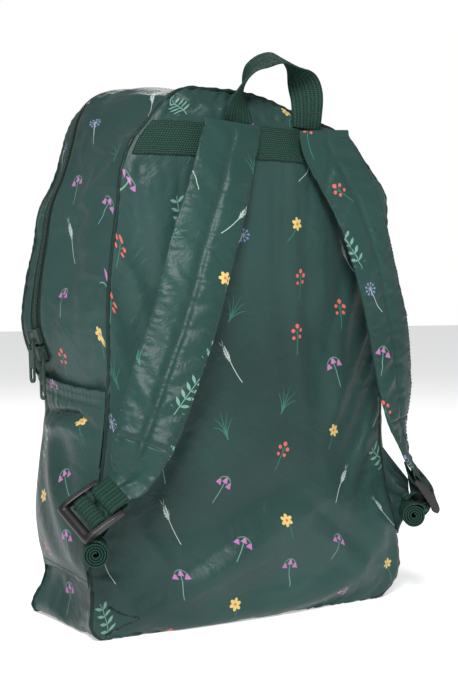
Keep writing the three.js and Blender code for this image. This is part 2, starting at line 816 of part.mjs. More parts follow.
function handle() {
  const foot = yoke_foot + webbing_width + 2 * seat_gap;
  const stations = handle_rows.map((row) => {
    const x = row.across * handle_half_span;
    const under = [-0.5, 0, 0.5].map((share) => back_surface(x + share * webbing_width, foot));
    const seat = Math.min(...under) - seat_gap - webbing / 2;
    const turn = THREE.MathUtils.degToRad(row.turn);
    const tilt = row.up > 0.7 ? -0.5 : 0;
    return {
      point: new THREE.Vector3(x, seat - row.out, foot + row.up * handle_rise),
      wide: new THREE.Vector3(Math.cos(turn), -Math.sin(turn), -tilt),
      width: webbing_width,
      thick: webbing,
    };
  });
  return ribbon(stations, flat_section, 32);
}

add("haul_handle", handle(), colours.webbing, 0.75);

// Buckles: a frame of their own, with X along the webbing, Y across it and Z out of the face
function lock_frame(side) {
  const place = lock_places[side];
  const along = place.along.clone().normalize();
  const wide = place.wide.clone();
  wide.addScaledVector(along, -wide.dot(along)).normalize();
  const out = new THREE.Vector3().crossVectors(along, wide);
  const frame = new THREE.Matrix4().makeBasis(along, wide, out);
  frame.setPosition(
    place.across * half_width,
    back_seam - place.out * strap_reach,
    place.up * body_height,
  );
  return frame;
}

const bar_places = [-lock_length / 2 + lock_bar / 2 + 0.6, 0.6, lock_length / 2 - lock_bar / 2 - 0.6];

function ladder_lock() {
  const end = lock_length / 2;
  const profile = new THREE.Shape();
  profile.moveTo(-end, -lock_bar / 2);
  profile.lineTo(-end, lock_bar / 2);
  profile.quadraticCurveTo(-end * 0.3, lock_bar * 1.5, end * 0.55, lock_bar * 1.35);
  profile.quadraticCurveTo(end, lock_bar * 1.1, end, -lock_bar * 0.2);
  profile.quadraticCurveTo(end * 0.9, -lock_bar * 0.7, end * 0.4, -lock_bar * 0.55);
  profile.lineTo(-end, -lock_bar / 2);
  const rail = (centre) =>
    new THREE.ExtrudeGeometry(profile, { depth: lock_rail, bevelEnabled: false, curveSegments: 6 })
      .rotateX(Math.PI / 2)
      .translate(0, centre + lock_rail / 2, 0);
  const shift = (lock_width - lock_rail) / 2;
  const bars = bar_places.map((along) =>
    new THREE.CylinderGeometry(lock_bar / 2, lock_bar / 2, lock_width - lock_rail, 10).translate(along, 0, 0),
  );
  return joined([rail(-shift), rail(shift), ...bars]);
}

// A point given in a buckle's own frame
function lock_point(side, along, wide, out) {
  return new THREE.Vector3(along, wide, out).applyMatrix4(lock_frame(side));
}

function lock_direction(side, axis) {
  const column = new THREE.Vector3();
  return column.setFromMatrixColumn(lock_frame(side), axis);
}

const turn_radius = lock_bar / 2 + seam_gap + webbing / 2;

function around_bar(along, from, to, count) {
  return steps(from, to, count).map((degrees) => {
    const angle = THREE.MathUtils.degToRad(degrees);
    return [along + turn_radius * Math.cos(angle), turn_radius * Math.sin(angle)];
  });
}

function web_station(point, wide) {
  return { point, wide, width: webbing_width, thick: webbing };
}

// Short loop that joins the strap's end to the first bar
const strap_tail = 10;

function strap_webbing(side) {
  const wide = lock_direction(side, 1);
  const first = bar_places[0];
  const route = [
    [first - strap_tail, turn_radius + 0.4],
    [first - strap_tail / 2, turn_radius + 0.2],
    ...around_bar(first, 90, -90, 6),
    [first - strap_tail / 2, -turn_radius - 0.2],
    [first - strap_tail + 2, -turn_radius + 0.2],
  ];
  const stations = route.map(([along, out]) => web_station(lock_point(side, along, 0, out), wide));
  return ribbon(stations, flat_section, 3 * (route.length - 1));
}

// Shoulder strap down to its tapered end at the buckle
function shoulder_strap(side) {
  const stations = strap_rows[side].map((row) => {
    const turn = THREE.MathUtils.degToRad(row.turn);
    return {
      point: new THREE.Vector3(row.across * half_width, back_seam - row.out * strap_reach, row.up * body_height),
      wide: new THREE.Vector3(Math.cos(turn), Math.sin(turn), 0),
      width: row.width * strap_width,
      thick: row.thick * strap_thick,
    };
  });
  const tip = bar_places[0] - strap_tail - seam_gap;
  const wide = lock_direction(side, 1);
  const before = stations[stations.length - 1].wide.clone().lerp(wide, 0.6);
  stations.push({
    point: lock_point(side, tip - 9, 0, turn_radius + 2),
    wide: before,
    width: webbing_width + 6,
    thick: strap_thick * 0.6,
  });
  stations.push({
    point: lock_point(side, tip, 0, turn_radius + 0.4),
    wide,
    width: webbing_width + 1,
    thick: strap_thick * 0.45,
  });
  return ribbon(stations, soft_section, 27);
}

// The middle of the tab's root in the seam, and the direction down its tip
function tab_root(side) {
  const sign = side === "left" ? -1 : 1;
  const z = tab_foot + tab_height / 2;
  return new THREE.Vector3(side_x(sign, z, back_seam), back_seam, z);
}

function tab_down(side) {
  return lock_places[side].tip_down.clone().normalize();
}

// Webbing from the tab's tip, up through the buckle, round its middle bar and into a roll
function lock_spot(side, spot) {
  return lock_point(side, spot.along * lock_length, spot.wide * lock_length, spot.out * lock_length);
}

// Stations of the roll, from its outer turn inwards, round an axis that lies level
function roll_stations(side) {
  const { roll, roll_axis } = lock_places[side];
  const axis = roll_axis.clone().normalize();
  const up = new THREE.Vector3(0, 0, 1);
  const right = new THREE.Vector3().crossVectors(up, axis).multiplyScalar(side === "left" ? 1 : -1);
  const centre = lock_spot(side, roll);
  const pitch = webbing + roll_clear;
  const start = THREE.MathUtils.degToRad(roll.start);
  return steps(0, roll_turns, roll_turns * roll_sides).map((turns) => {
    const angle = start + roll.spin * 2 * Math.PI * turns;
    const radius = roll_radius - webbing / 2 - pitch * turns;
    const point = centre.clone().addScaledVector(right, radius * Math.cos(angle));
    return web_station(point.addScaledVector(up, radius * Math.sin(angle)), axis);
  });
}

function lower_webbing(side) {
  const wide = lock_direction(side, 1);
  const middle = bar_places[1];
  const tip = lock_spot(side, lock_places[side].tip);
  const seat = new THREE.Vector3().subVectors(tip, tab_root(side)).setLength(1.7 * webbing);
  const roll = roll_stations(side);
  const below = lock_point(side, middle + 4.5, 0, -7);
  const link = below.clone().lerp(roll[0].point, 0.6).add(new THREE.Vector3(0, 0, -2 * webbing));
  const twist = wide.clone().lerp(roll[0].wide, 0.3);
  const stations = [
    web_station(tip.clone().add(seat), tab_down(side).multiplyScalar(Math.sign(-wide.z))),
    web_station(lock_point(side, middle - 4.5, 0, -6.5), wide),
    web_station(lock_point(side, middle - 3.6, 0, -3.4), wide),
    ...around_bar(middle, 200, -20, 8).map(([along, out]) => web_station(lock_point(side, along, 0, out), wide)),
    web_station(lock_point(side, middle + 3.6, 0, -3.6), wide),
    web_station(below, wide),
    web_station(link, twist),
    ...roll,
  ];
  return ribbon(stations, flat_section, stations.length - 1);
}

// Triangular tab from the side seam to the webbing's lower end
function lower_tab(side) {
  const sign = side === "left" ? -1 : 1;
  const tip = lock_spot(side, lock_places[side].tip);
  const down = tab_down(side);
  const outer = [];
  const inner = [];
  for (const share of steps(0, 1, 4)) {
    const outer_row = [];
    const inner_row = [];
    for (const across of steps(-0.5, 0.5, 4)) {
      const z = tab_foot + (0.5 - across) * tab_height;
      const seam_x = side_x(sign, z, back_seam) + sign * (tab_thick / 2 + 2 * seam_gap);
      const from = new THREE.Vector3(seam_x, back_seam - tab_thick / 2, z);
      const to = tip.clone().addScaledVector(down, across * webbing_width);
      const point = from.clone().lerp(to, share);
      const pulled = to.clone().sub(from);
      const spread = new THREE.Vector3(0, 0, -tab_height).lerp(down.clone().multiplyScalar(webbing_width), share);
      const face = new THREE.Vector3().crossVectors(pulled, spread).setLength(tab_thick / 2);
      outer_row.push(point.clone().sub(face));
      inner_row.push(point.clone().add(face));
    }
    outer.push(outer_row);
    inner.push(inner_row);
  }
  return shell(outer, inner, () => true);
}

for (const side of ["left", "right"]) {
  add(`shoulder_strap_${side}`, shoulder_strap(side), colours.strap, 0.45);
  add(`strap_webbing_${side}`, strap_webbing(side), colours.webbing, 0.75);
  const lock = add(`ladder_lock_${side}`, ladder_lock(), colours.plastic, 0.35);
  lock.applyMatrix4(lock_frame(side));
  add(`lower_webbing_${side}`, lower_webbing(side), colours.webbing, 0.75);
  add(`lower_tab_${side}`, lower_tab(side), colours.cloth, 0.5);
}

export default pack;
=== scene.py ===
# A packable backpack of thin coated cloth: its fine surfaces, seams, webbing and fittings, round the frame.
import math

import bmesh
import bpy
import numpy as np
from mathutils import Matrix, Vector


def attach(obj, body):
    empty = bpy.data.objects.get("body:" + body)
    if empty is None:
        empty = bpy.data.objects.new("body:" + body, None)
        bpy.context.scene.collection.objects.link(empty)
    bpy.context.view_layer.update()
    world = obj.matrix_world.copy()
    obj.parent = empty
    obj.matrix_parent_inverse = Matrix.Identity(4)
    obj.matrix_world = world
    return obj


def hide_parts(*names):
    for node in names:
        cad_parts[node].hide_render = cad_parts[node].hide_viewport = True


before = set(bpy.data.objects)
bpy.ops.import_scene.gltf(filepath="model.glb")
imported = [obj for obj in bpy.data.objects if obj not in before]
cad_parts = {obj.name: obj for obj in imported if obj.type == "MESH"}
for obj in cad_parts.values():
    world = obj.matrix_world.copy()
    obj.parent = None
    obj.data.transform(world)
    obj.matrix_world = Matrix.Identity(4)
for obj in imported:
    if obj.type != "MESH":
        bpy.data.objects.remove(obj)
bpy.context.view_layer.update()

MM = 0.001
PACK = "pack"


def rows_of(names, rows):
    """The rows of a table, each value under its column's name."""
    return [dict(zip(names.split(), row)) for row in rows]


# Sizes of the body in millimetres, as the frame has them
BODY_HEIGHT = 405
HALF_WIDTH = 135
SEAM_DEPTH = 100
BACK_CROWN = 17
FRONT_CROWN = 16
CLOTH = 1.6
SEAT_GAP = 0.7
TOP_RADIUS = {-1: 55, 1: 70}
BOTTOM_RADIUS = {-1: 14, 1: 26}
TOP_SLUMP = 0.055
EDGE_DROP = 0.03
ZIP_END_HEIGHT = 194
ZIP_CENTRE = 34
ZIP_SLOT = 12
BACK_SEAM = -SEAM_DEPTH / 2
FRONT_SEAM = SEAM_DEPTH / 2
SLOT_BACK = ZIP_CENTRE - ZIP_SLOT / 2
SLOT_FRONT = ZIP_CENTRE + ZIP_SLOT / 2

# Sizes of the pockets, the webbing and the harness
POCKET_FOOT = 37
POCKET_HEIGHT = 147
POCKET_BULGE = 13
POCKET_HEM_BULGE = 5
WEB_WIDTH = 25
WEB = 1.3
YOKE_FOOT = 342
HANDLE_RISE = 50
HANDLE_HALF_SPAN = 30
STRAP_WIDTH = 47
STRAP_THICK = 7
STRAP_REACH = 46
LOCK_LENGTH = 33
LOCK_WIDTH = 34
LOCK_BAR = 3.2
LOCK_RAIL = 3.6
TAB_FOOT = 50
TAB_HEIGHT = 72
TAB_THICK = 1.8
ROLL_RADIUS = 9.4
ROLL_TURNS = 4

# Width of each side up its height, as shares of HALF_WIDTH, at the back seam, the middle and the front seam
WIDTH_ROWS = {
    -1: {
        "up": [0, 0.07, 0.14, 0.2, 0.3, 0.4, 0.48, 0.55, 0.63, 0.7, 0.77, 0.83, 0.89, 0.94, 1],
        "back": [1.08, 1.06, 1.075, 1.06, 1, 0.97, 0.962, 0.965, 0.958, 0.935, 0.907, 0.89, 0.83, 0.76, 0.74],
        "middle": [1.1, 1.01, 1.03, 1.03, 0.99, 0.96, 1, 1.05, 1.045, 1.02, 0.985, 0.93, 0.885, 0.885, 0.91],
        "front": [
            1.13, 1, 1.025, 1.035, 1.005, 0.985, 1.07, 1.13, 1.105, 1.06, 1.025, 0.94, 0.89, 0.905, 0.96,
        ],
    },
    1: {
        "up": [0, 0.05, 0.1, 0.16, 0.24, 0.33, 0.43, 0.55, 0.66, 0.76, 0.84, 0.89, 0.94, 1],
        "back": [0.93, 0.965, 0.955, 0.915, 0.85, 0.815, 0.82, 0.845, 0.86, 0.862, 0.85, 0.79, 0.755, 0.8],
        "middle": [0.96, 0.97, 0.97, 0.96, 0.93, 0.9, 0.91, 0.95, 0.96, 0.94, 0.91, 0.88, 0.87, 0.9],
        "front": [0.97, 0.99, 1, 0.99, 0.97, 0.955, 0.97, 1.02, 1.03, 1, 0.95, 0.91, 0.9, 0.92],
    },
}

# Soft folds of the panels: place, length and width as shares, depth as a share of the crown, turn in degrees
BACK_FOLDS = [
    {"across": -0.45, "up": 0.2, "long": 0.5, "wide": 0.035, "deep": 0.3, "turn": 24},
    {"across": -0.3, "up": 0.13, "long": 0.55, "wide": 0.04, "deep": -0.35, "turn": 20},
    {"across": -0.1, "up": 0.06, "long": 0.5, "wide": 0.03, "deep": 0.3, "turn": 12},
    {"across": 0.55, "up": 0.3, "long": 0.4, "wide": 0.05, "deep": 0.25, "turn": -60},
    {"across": 0.2, "up": 0.5, "long": 0.4, "wide": 0.06, "deep": 0.3, "turn": 75},
    {"across": 0.75, "up": 0.45, "long": 0.3, "wide": 0.035, "deep": 0.3, "turn": 80},
]
FRONT_FOLDS = [
    {"across": -0.4, "up": 0.25, "long": 0.5, "wide": 0.04, "deep": 0.3, "turn": -24},
    {"across": 0.35, "up": 0.2, "long": 0.5, "wide": 0.04, "deep": 0.3, "turn": 26},
    {"across": 0.0, "up": 0.55, "long": 0.5, "wide": 0.06, "deep": 0.3, "turn": 80},
    {"across": 0.5, "up": 0.75, "long": 0.35, "wide": 0.035, "deep": 0.3, "turn": -40},
    {"across": -0.5, "up": 0.78, "long": 0.35, "wide": 0.035, "deep": 0.3, "turn": 40},
]


# Numbers and tables
def smooth(low, high, value):
    share = np.clip((np.asarray(value, float) - low) / (high - low), 0, 1)
    return share * share * (3 - 2 * share)


def curve_value(xs, ys, at):
    """Value of a smooth curve through a table's rows."""
    xs = np.asarray(xs, float)
    ys = np.asarray(ys, float)
    at = np.asarray(at, float)
    slope = np.empty_like(ys)
    slope[1:-1] = (ys[2:] - ys[:-2]) / (xs[2:] - xs[:-2])
    slope[0] = (ys[1] - ys[0]) / (xs[1] - xs[0])
    slope[-1] = (ys[-1] - ys[-2]) / (xs[-1] - xs[-2])
    low = np.clip(np.searchsorted(xs, at, side="left") - 1, 0, len(xs) - 2)
    span = xs[low + 1] - xs[low]
    s = np.clip((at - xs[low]) / span, 0, 1)
    s2 = s * s
    s3 = s2 * s
    return (
        ys[low] * (2 * s3 - 3 * s2 + 1)
        + slope[low] * span * (s3 - 2 * s2 + s)
        + ys[low + 1] * (3 * s2 - 2 * s3)
        + slope[low + 1] * span * (s3 - s2)
    )


def unit(vectors):
    vectors = np.asarray(vectors, float)
    return vectors / np.maximum(np.linalg.norm(vectors, axis=-1, keepdims=True), 1e-9)


def waves(seed, count, low, high):
    """A smooth random function of one coordinate, about -1 to 1, with wavelengths from low to high."""
    rng = np.random.default_rng(seed)
    lengths = np.exp(rng.uniform(np.log(low), np.log(high), count))
    phases = rng.uniform(0, 2 * np.pi, count)
    weights = rng.uniform(0.5, 1, count)
    weights /= np.sqrt((weights**2).sum() / 2)

    def value(at):
        at = np.asarray(at, float)[..., None]
        return 0.5 * (weights * np.sin(2 * np.pi * at / lengths + phases)).sum(-1)

    return value


# The body's outline, as the frame has it
def width_share(sign, z, y):
    rows = WIDTH_ROWS[sign]
    up = np.asarray(z, float) / BODY_HEIGHT
    depth = 2 * np.asarray(y, float) / SEAM_DEPTH
    back, middle, front = (curve_value(rows["up"], rows[name], up) for name in ("back", "middle", "front"))
    return back * depth * (depth - 1) / 2 + middle * (1 - depth**2) + front * depth * (depth + 1) / 2


def plain_half_width(sign, z):
    upper = TOP_RADIUS[sign]
    lower = BOTTOM_RADIUS[sign]
    above = np.maximum(z - (BODY_HEIGHT - upper), 0)
    below = np.maximum(lower - z, 0)
    top = np.sqrt(np.maximum(upper**2 - above**2, 0)) - upper
    foot = np.sqrt(np.maximum(lower**2 - below**2, 0)) - lower
    return HALF_WIDTH + top + foot


def side_x(sign, z, y):
    z = np.asarray(z, float)
    return sign * plain_half_width(sign, z) * width_share(sign, z, y)


def settle_factor(x, z, y):
    up = z / BODY_HEIGHT
    slump = TOP_SLUMP * smooth(-0.2 * HALF_WIDTH, 0.55 * HALF_WIDTH, x) * up**3
    drop = EDGE_DROP * (2 * y / SEAM_DEPTH) ** 2 * up**2
    return (1 - slump) * (1 - drop)


def unsettled(x, z, y):
    flat = np.asarray(z, float)
    for _ in range(6):
        flat = z / settle_factor(x, flat, y)
    return flat


def rim_x(sign, z, seam):
    x = side_x(sign, z, seam)
    for _ in range(8):
        x = side_x(sign, unsettled(x, z, seam), seam)
    return x


def fold_depth(folds, x, z):
    depth = 0
    for fold in folds:
        turn = math.radians(fold["turn"])
        right = x - fold["across"] * HALF_WIDTH
        up = z - fold["up"] * BODY_HEIGHT
        along = (right * math.cos(turn) + up * math.sin(turn)) / (fold["long"] * HALF_WIDTH)
        across = (up * math.cos(turn) - right * math.sin(turn)) / (fold["wide"] * BODY_HEIGHT)
        depth = depth + fold["deep"] * np.exp(-(along**2) - across**2)
    return depth


def crown_share(x, flat, seam, folds):
    left = side_x(-1, flat, seam)
    right = side_x(1, flat, seam)
    across = np.minimum(np.abs(2 * (x - left) / (right - left) - 1), 1)
    height = np.clip(2 * flat / BODY_HEIGHT - 1, -1, 1)
    up = np.abs(height)
    bowl = (1 - across**2.6) * (1 - up ** np.where(height < 0, 12, 6))
    rim = (1 - across**6) * (1 - up**8)
    return bowl - fold_depth(folds, x, flat) * rim


def back_surface(x, z):
    flat = unsettled(x, z, BACK_SEAM)
    return BACK_SEAM - CLOTH - BACK_CROWN * crown_share(x, flat, BACK_SEAM, BACK_FOLDS)


# Fine grid of the body: up each side, over the top, and through the depth
CORNER_STEPS = 7
LOWER_STEPS = 44
UPPER_STEPS = 36
SHOULDER_STEPS = 22
TOP_STEPS = 64
GUSSET_STEPS = 19
SLOT_STEPS = 4
FRONT_STEPS = 3


def side_levels(sign):
    radius = TOP_RADIUS[sign]
    foot = BOTTOM_RADIUS[sign]
    corner = foot * (1 - np.cos(np.linspace(0, np.pi / 2, CORNER_STEPS + 1)))
    lower = np.linspace(foot, ZIP_END_HEIGHT, LOWER_STEPS + 1)[1:]
    upper = np.linspace(ZIP_END_HEIGHT, BODY_HEIGHT - radius, UPPER_STEPS + 1)[1:]
    shoulder = BODY_HEIGHT - radius + radius * np.sin(np.linspace(0, np.pi / 2, SHOULDER_STEPS + 1)[1:])
    return np.concatenate([corner, lower, upper, shoulder])


LEVELS = {sign: side_levels(sign) for sign in (-1, 1)}
LEVEL_COUNT = len(LEVELS[-1])
LOOP_COUNT = 2 * LEVEL_COUNT + TOP_STEPS - 1
ZIP_FIRST = CORNER_STEPS + LOWER_STEPS
ZIP_LAST = LOOP_COUNT - 1 - ZIP_FIRST
EDGE = 50.6
DEPTHS = np.concatenate([
    np.linspace(-EDGE, SLOT_BACK, GUSSET_STEPS + 1),
    np.linspace(SLOT_BACK, SLOT_FRONT, SLOT_STEPS + 1)[1:],
    np.linspace(SLOT_FRONT, EDGE, FRONT_STEPS + 1)[1:],
])


def loop_row(y):
    """Points of the gusset's loop at one depth, and their heights before the cloth settled."""
    left = side_x(-1, LEVELS[-1], y)
    right = side_x(1, LEVELS[1], y)
    over = left[-1] + (right[-1] - left[-1]) * np.arange(1, TOP_STEPS) / TOP_STEPS
    x = np.concatenate([left, over, right[::-1]])
    flat = np.concatenate([LEVELS[-1], np.full(TOP_STEPS - 1, float(BODY_HEIGHT)), LEVELS[1][::-1]])
    return np.stack([x, np.full_like(x, y), flat * settle_factor(x, flat, y)], -1)


def gusset_grid():
    return np.stack([loop_row(y) for y in DEPTHS])


def panel_grid(seam, crown, folds):
    """Outer surface of a panel: rows up its height, columns across."""
    side = np.sign(seam)
    share = np.linspace(0, 1, TOP_STEPS + 1)[None, :]
    left = side_x(-1, LEVELS[-1], side * EDGE)[:, None]
    right = side_x(1, LEVELS[1], side * EDGE)[:, None]
    x = left + (right - left) * share
    flat = LEVELS[-1][:, None] + (LEVELS[1] - LEVELS[-1])[:, None] * share
    bulge = crown_share(x, flat, seam, folds)
    rim = np.minimum(np.minimum(x - left, right - x), np.minimum(flat, BODY_HEIGHT - flat))
    thickness = (CLOTH - (EDGE - SEAM_DEPTH / 2)) * smooth(0, 6, rim)
    y = side * (EDGE + thickness + crown * bulge)
    z = flat * settle_factor(x, flat, side * EDGE)
    return np.stack([x, y, z], -1)


# Meshes
def link(name, mesh):
    piece = bpy.data.objects.new(name, mesh)
    bpy.context.scene.collection.objects.link(piece)
    return piece


def mesh_of(name, points, faces, uvs=None):
    """A mesh from points in millimetres, faces of point numbers, and one uv in millimetres for each point."""
    mesh = bpy.data.meshes.new(name)
    mesh.from_pydata((np.asarray(points, float) * MM).tolist(), [], [tuple(int(i) for i in f) for f in faces])
    if uvs is not None:
        layer = mesh.uv_layers.new(name="UVMap")
        index = np.empty(len(mesh.loops), np.int32)
        mesh.loops.foreach_get("vertex_index", index)
        layer.data.foreach_set("uv", (np.asarray(uvs, float)[index] * MM).ravel())
    mesh.polygons.foreach_set("use_smooth", [True] * len(mesh.polygons))
    mesh.update()
    return mesh


def grid_faces(rows, columns, wrap=False):
    faces = []
    for i in range(rows - 1):
        for j in range(columns if wrap else columns - 1):
            k = (j + 1) % columns
            a = i * columns
            faces.append((a + j, a + k, a + columns + k, a + columns + j))
    return faces


def piece_of(name, mesh, material, slot, *nodes, body=PACK):
    piece = link(name, mesh)
    piece.data.materials.append(material)
    if nodes:
        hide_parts(*nodes)
    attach(piece, body)
    return piece


# Shader nodes, written as sums
class Num:
    """A number or colour in a shader, on which arithmetic makes Math nodes."""

    def __init__(self, tree, socket):
        self.tree = tree
        self.socket = socket

    def math(self, operation, *others):
        node = self.tree.nodes.new("ShaderNodeMath")
        node.operation = operation
        for index, value in enumerate((self, *others)):
            if isinstance(value, Num):
                self.tree.links.new(value.socket, node.inputs[index])
            else:
                node.inputs[index].default_value = value
        return Num(self.tree, node.outputs[0])

    def __add__(self, other):
        return self.math("ADD", other)

    def __sub__(self, other):
        return self.math("SUBTRACT", other)

    def __mul__(self, other):
        return self.math("MULTIPLY", other)

    def __truediv__(self, other):
        return self.math("DIVIDE", other)

    def __neg__(self):
        return self.math("MULTIPLY", -1.0)

    __radd__ = __add__
    __rmul__ = __mul__

    def of(self, operation, *others):
        return self.math(operation, *others)

    def ramp(self, low, high):
        """0 below low and 1 above high, or the other way round where low is the larger."""
        node = self.tree.nodes.new("ShaderNodeMapRange")
        node.interpolation_type = "SMOOTHSTEP"
        self.tree.links.new(self.socket, node.inputs["Value"])
        node.inputs["From Min"].default_value = min(low, high)
        node.inputs["From Max"].default_value = max(low, high)
        node.inputs["To Min"].default_value = 0 if low < high else 1
        node.inputs["To Max"].default_value = 1 if low < high else 0
        return Num(self.tree, node.outputs["Result"])


class Shader:
    """A material's node tree with the nodes that the materials here share."""

    def __init__(self, name):
        self.material = bpy.data.materials.new(name)
        self.material.use_nodes = True
        self.tree = self.material.node_tree
        self.surface = self.tree.nodes["Principled BSDF"]

    def node(self, kind, **inputs):
        node = self.tree.nodes.new(kind)
        for name, value in inputs.items():
            self.put(node.inputs[name.replace("_", " ")], value)
        return node

    def put(self, socket, value):
        if isinstance(value, Num):
            self.tree.links.new(value.socket, socket)
        elif isinstance(value, bpy.types.NodeSocket):
            self.tree.links.new(value, socket)
        else:
            socket.default_value = value

    def num(self, socket):
        return Num(self.tree, socket)

    def place(self):
        return self.node("ShaderNodeTexCoord").outputs["Object"]

    def uv_mm(self):
        """The cloth's own coordinates in millimetres."""
        split = self.node("ShaderNodeSeparateXYZ", Vector=self.node("ShaderNodeTexCoord").outputs["UV"])
        return self.num(split.outputs["X"]) * 1000.0, self.num(split.outputs["Y"]) * 1000.0

    def vector(self, x, y, z=0.0):
        return self.node("ShaderNodeCombineXYZ", X=x, Y=y, Z=z).outputs["Vector"]

    def noise(self, vector, scale, detail=2.0, roughness=0.5, distortion=0.0):
        node = self.node("ShaderNodeTexNoise", Vector=vector, Scale=scale, Detail=detail)
        node.inputs["Roughness"].default_value = roughness
        node.inputs["Distortion"].default_value = distortion
        return self.num(node.outputs["Fac"])

    def mix(self, share, first, second):
        node = self.tree.nodes.new("ShaderNodeMix")
        node.data_type = "RGBA"
        self.put(node.inputs["Factor"], share)
        self.put(node.inputs["A"], first)
        self.put(node.inputs["B"], second)
        return node.outputs["Result"]

    def bump(self, height, distance, strength=1.0, normal=None):
        node = self.node("ShaderNodeBump", Height=height, Distance=distance, Strength=strength)
        if normal is not None:
            self.put(node.inputs["Normal"], normal)
        return node.outputs["Normal"]

    def set(self, **inputs):
        for name, value in inputs.items():
            self.put(self.surface.inputs[name.replace("_", " ")], value)


def linear(red, green, blue):
    """Linear colour of an sRGB colour given from 0 to 255."""
    def one(value):
        value /= 255
        return value / 12.92 if value <= 0.04045 else ((value + 0.055) / 1.055) ** 2.4

    return (one(red), one(green), one(blue), 1)


# The print: sprigs and flowers of seven kinds, one to a cell, in columns that step by half a cell
CELL_WIDE = 50.0
CELL_HIGH = 45.0
MOTIF_SHRINK = 1.08
YELLOW = linear(226, 198, 116)
CORAL = linear(222, 98, 92)
LILAC = linear(186, 116, 176)
BLUE = linear(124, 132, 178)
PALE = linear(188, 200, 192)
MINT = linear(116, 160, 144)
TEAL = linear(58, 116, 98)


def disc(x, y, at_x, at_y, radius):
    right = x - at_x
    up = y - at_y
    return (right * right + up * up).of("SQRT").ramp(radius + 0.25, radius - 0.25)


def stem(x, y, low, high, bend, half):
    line = (x - y * y * bend).of("ABSOLUTE").ramp(half + 0.2, half - 0.15)
    return line * y.ramp(low - 0.4, low + 0.4) * y.ramp(high + 0.4, high - 0.4)


def leaf(along, across, length, half):
    share = (along / length).of("MAXIMUM", 0.0).of("MINIMUM", 1.0)
    width = (share * math.pi).of("SINE") * half
    return (width - across.of("ABSOLUTE")).ramp(-0.1, 0.35)


def turned(x, y, degrees):
    cos = math.cos(math.radians(degrees))
    sin = math.sin(math.radians(degrees))
    return x * cos + y * sin, y * cos - x * sin


def star_flower(x, y):
    radius = (x * x + y * y).of("SQRT")
    angle = y.of("ARCTAN2", x)
    rim = (angle * 3.0).of("COSINE").of("ABSOLUTE") * 2.6 + 3.0
    petals = (rim - radius).ramp(-0.2, 0.35)
    heart = radius.ramp(1.5, 1.0)
    return [
        (petals * radius.ramp(0.9, 1.3), YELLOW),
        (heart, CORAL),
        (stem(x, y, -17.0, -5.0, 0.012, 0.3), TEAL),
    ]


def berry_sprig(x, y):
    berries = disc(x, y, 0.4, 9.5, 1.9)
    for at_x, at_y, radius in ((-3.6, 6.2, 1.7), (4.2, 5.4, 1.6), (-2.6, 0.8, 1.5), (3.4, -0.4, 1.4)):
        berries = berries.of("MAXIMUM", disc(x, y, at_x, at_y, radius))
    side_x = x.of("ABSOLUTE")
    twigs = stem(side_x, y, -2.5, 6.5, 0.06, 0.22)
    return [(stem(x, y, -14.0, 9.0, 0.0, 0.28).of("MAXIMUM", twigs), TEAL), (berries, CORAL)]


def bells(x, y):
    bell = None
    for at_x, at_y in ((-5.0, 6.0), (0.0, 8.6), (5.0, 5.2)):
        right = (x - at_x).of("ABSOLUTE")
        down = (y - at_y) * -1.0
        width = down * 0.42 + 0.9
        one = (width - right).ramp(-0.2, 0.3) * down.ramp(-0.3, 0.3) * down.ramp(4.6, 4.0)
        bell = one if bell is None else bell.of("MAXIMUM", one)
    arch = stem(x, y - 9.4 + x * x * 0.1, -0.35, 0.35, 0.0, 6.0)
    return [(stem(x, y, -15.0, 8.8, 0.004, 0.28).of("MAXIMUM", arch), MINT), (bell, LILAC)]


def wheat_ear(x, y):
    side_x = x.of("ABSOLUTE")
    grain = (y * 0.36 - side_x * 0.32).of("FRACT")
    share = ((y - 1.0) / 15.0).of("MAXIMUM", 0.0).of("MINIMUM", 1.0)
    width = (share * math.pi).of("SINE") * (grain * 1.5 + 1.2)
    ear = (width - side_x).ramp(-0.1, 0.4) * side_x.ramp(0.1, 0.5)
    beard = leaf(y - 14.0, side_x - (y - 14.0) * 0.22, 7.0, 0.3)
    return [(ear.of("MAXIMUM", stem(x, y, -18.0, 15.0, -0.006, 0.28)).of("MAXIMUM", beard), PALE)]


def leafy_twig(x, y):
    side_x = x.of("ABSOLUTE")
    local_y = (y * (1 / 7.0)).of("FRACT") * 7.0 - 1.2
    along, across = turned(side_x, local_y, 38)
    within = y.ramp(-16.0, -15.0) * y.ramp(13.5, 12.5)
    leaves = leaf(along, across, 8.2, 1.35) * within
    return [(leaves.of("MAXIMUM", stem(x, y, -20.0, 14.0, 0.0, 0.3)), MINT)]


def grass_tuft(x, y):
    side_x = x.of("ABSOLUTE")
    height = y + 12.0
    taper = (height * -0.022 + 0.62).of("MAXIMUM", 0.08)
    tuft = None
    for bend, top in ((0.0, 24.0), (0.014, 21.0), (0.04, 15.0)):
        blade = (taper - (side_x - height * height * bend).of("ABSOLUTE")).ramp(-0.15, 0.2)
        blade = blade * height.ramp(-0.3, 0.3) * height.ramp(top + 0.3, top - 0.3)
        tuft = blade if tuft is None else tuft.of("MAXIMUM", blade)
    return [(tuft, TEAL)]


def dotted_wheel(x, y):
    up = y - 6.0
    radius = (x * x + up * up).of("SQRT")
    turn = up.of("ARCTAN2", x) * (9 / (2 * math.pi))
    across = (turn.of("FRACT") - 0.5) * (2 * math.pi / 9) * radius
    ring = disc(radius, across, 4.6, 0.0, 0.95).of("MAXIMUM", disc(x, y, 0.0, 6.0, 1.5))
    spoke = (across.of("ABSOLUTE")).ramp(0.25, 0.1) * radius.ramp(4.4, 4.0)
    return [(stem(x, y, -16.0, 4.6, 0.008, 0.26).of("MAXIMUM", spoke * 0.6), PALE), (ring, BLUE)]


MOTIFS = [star_flower, berry_sprig, bells, wheat_ear, leafy_twig, grass_tuft, dotted_wheel]


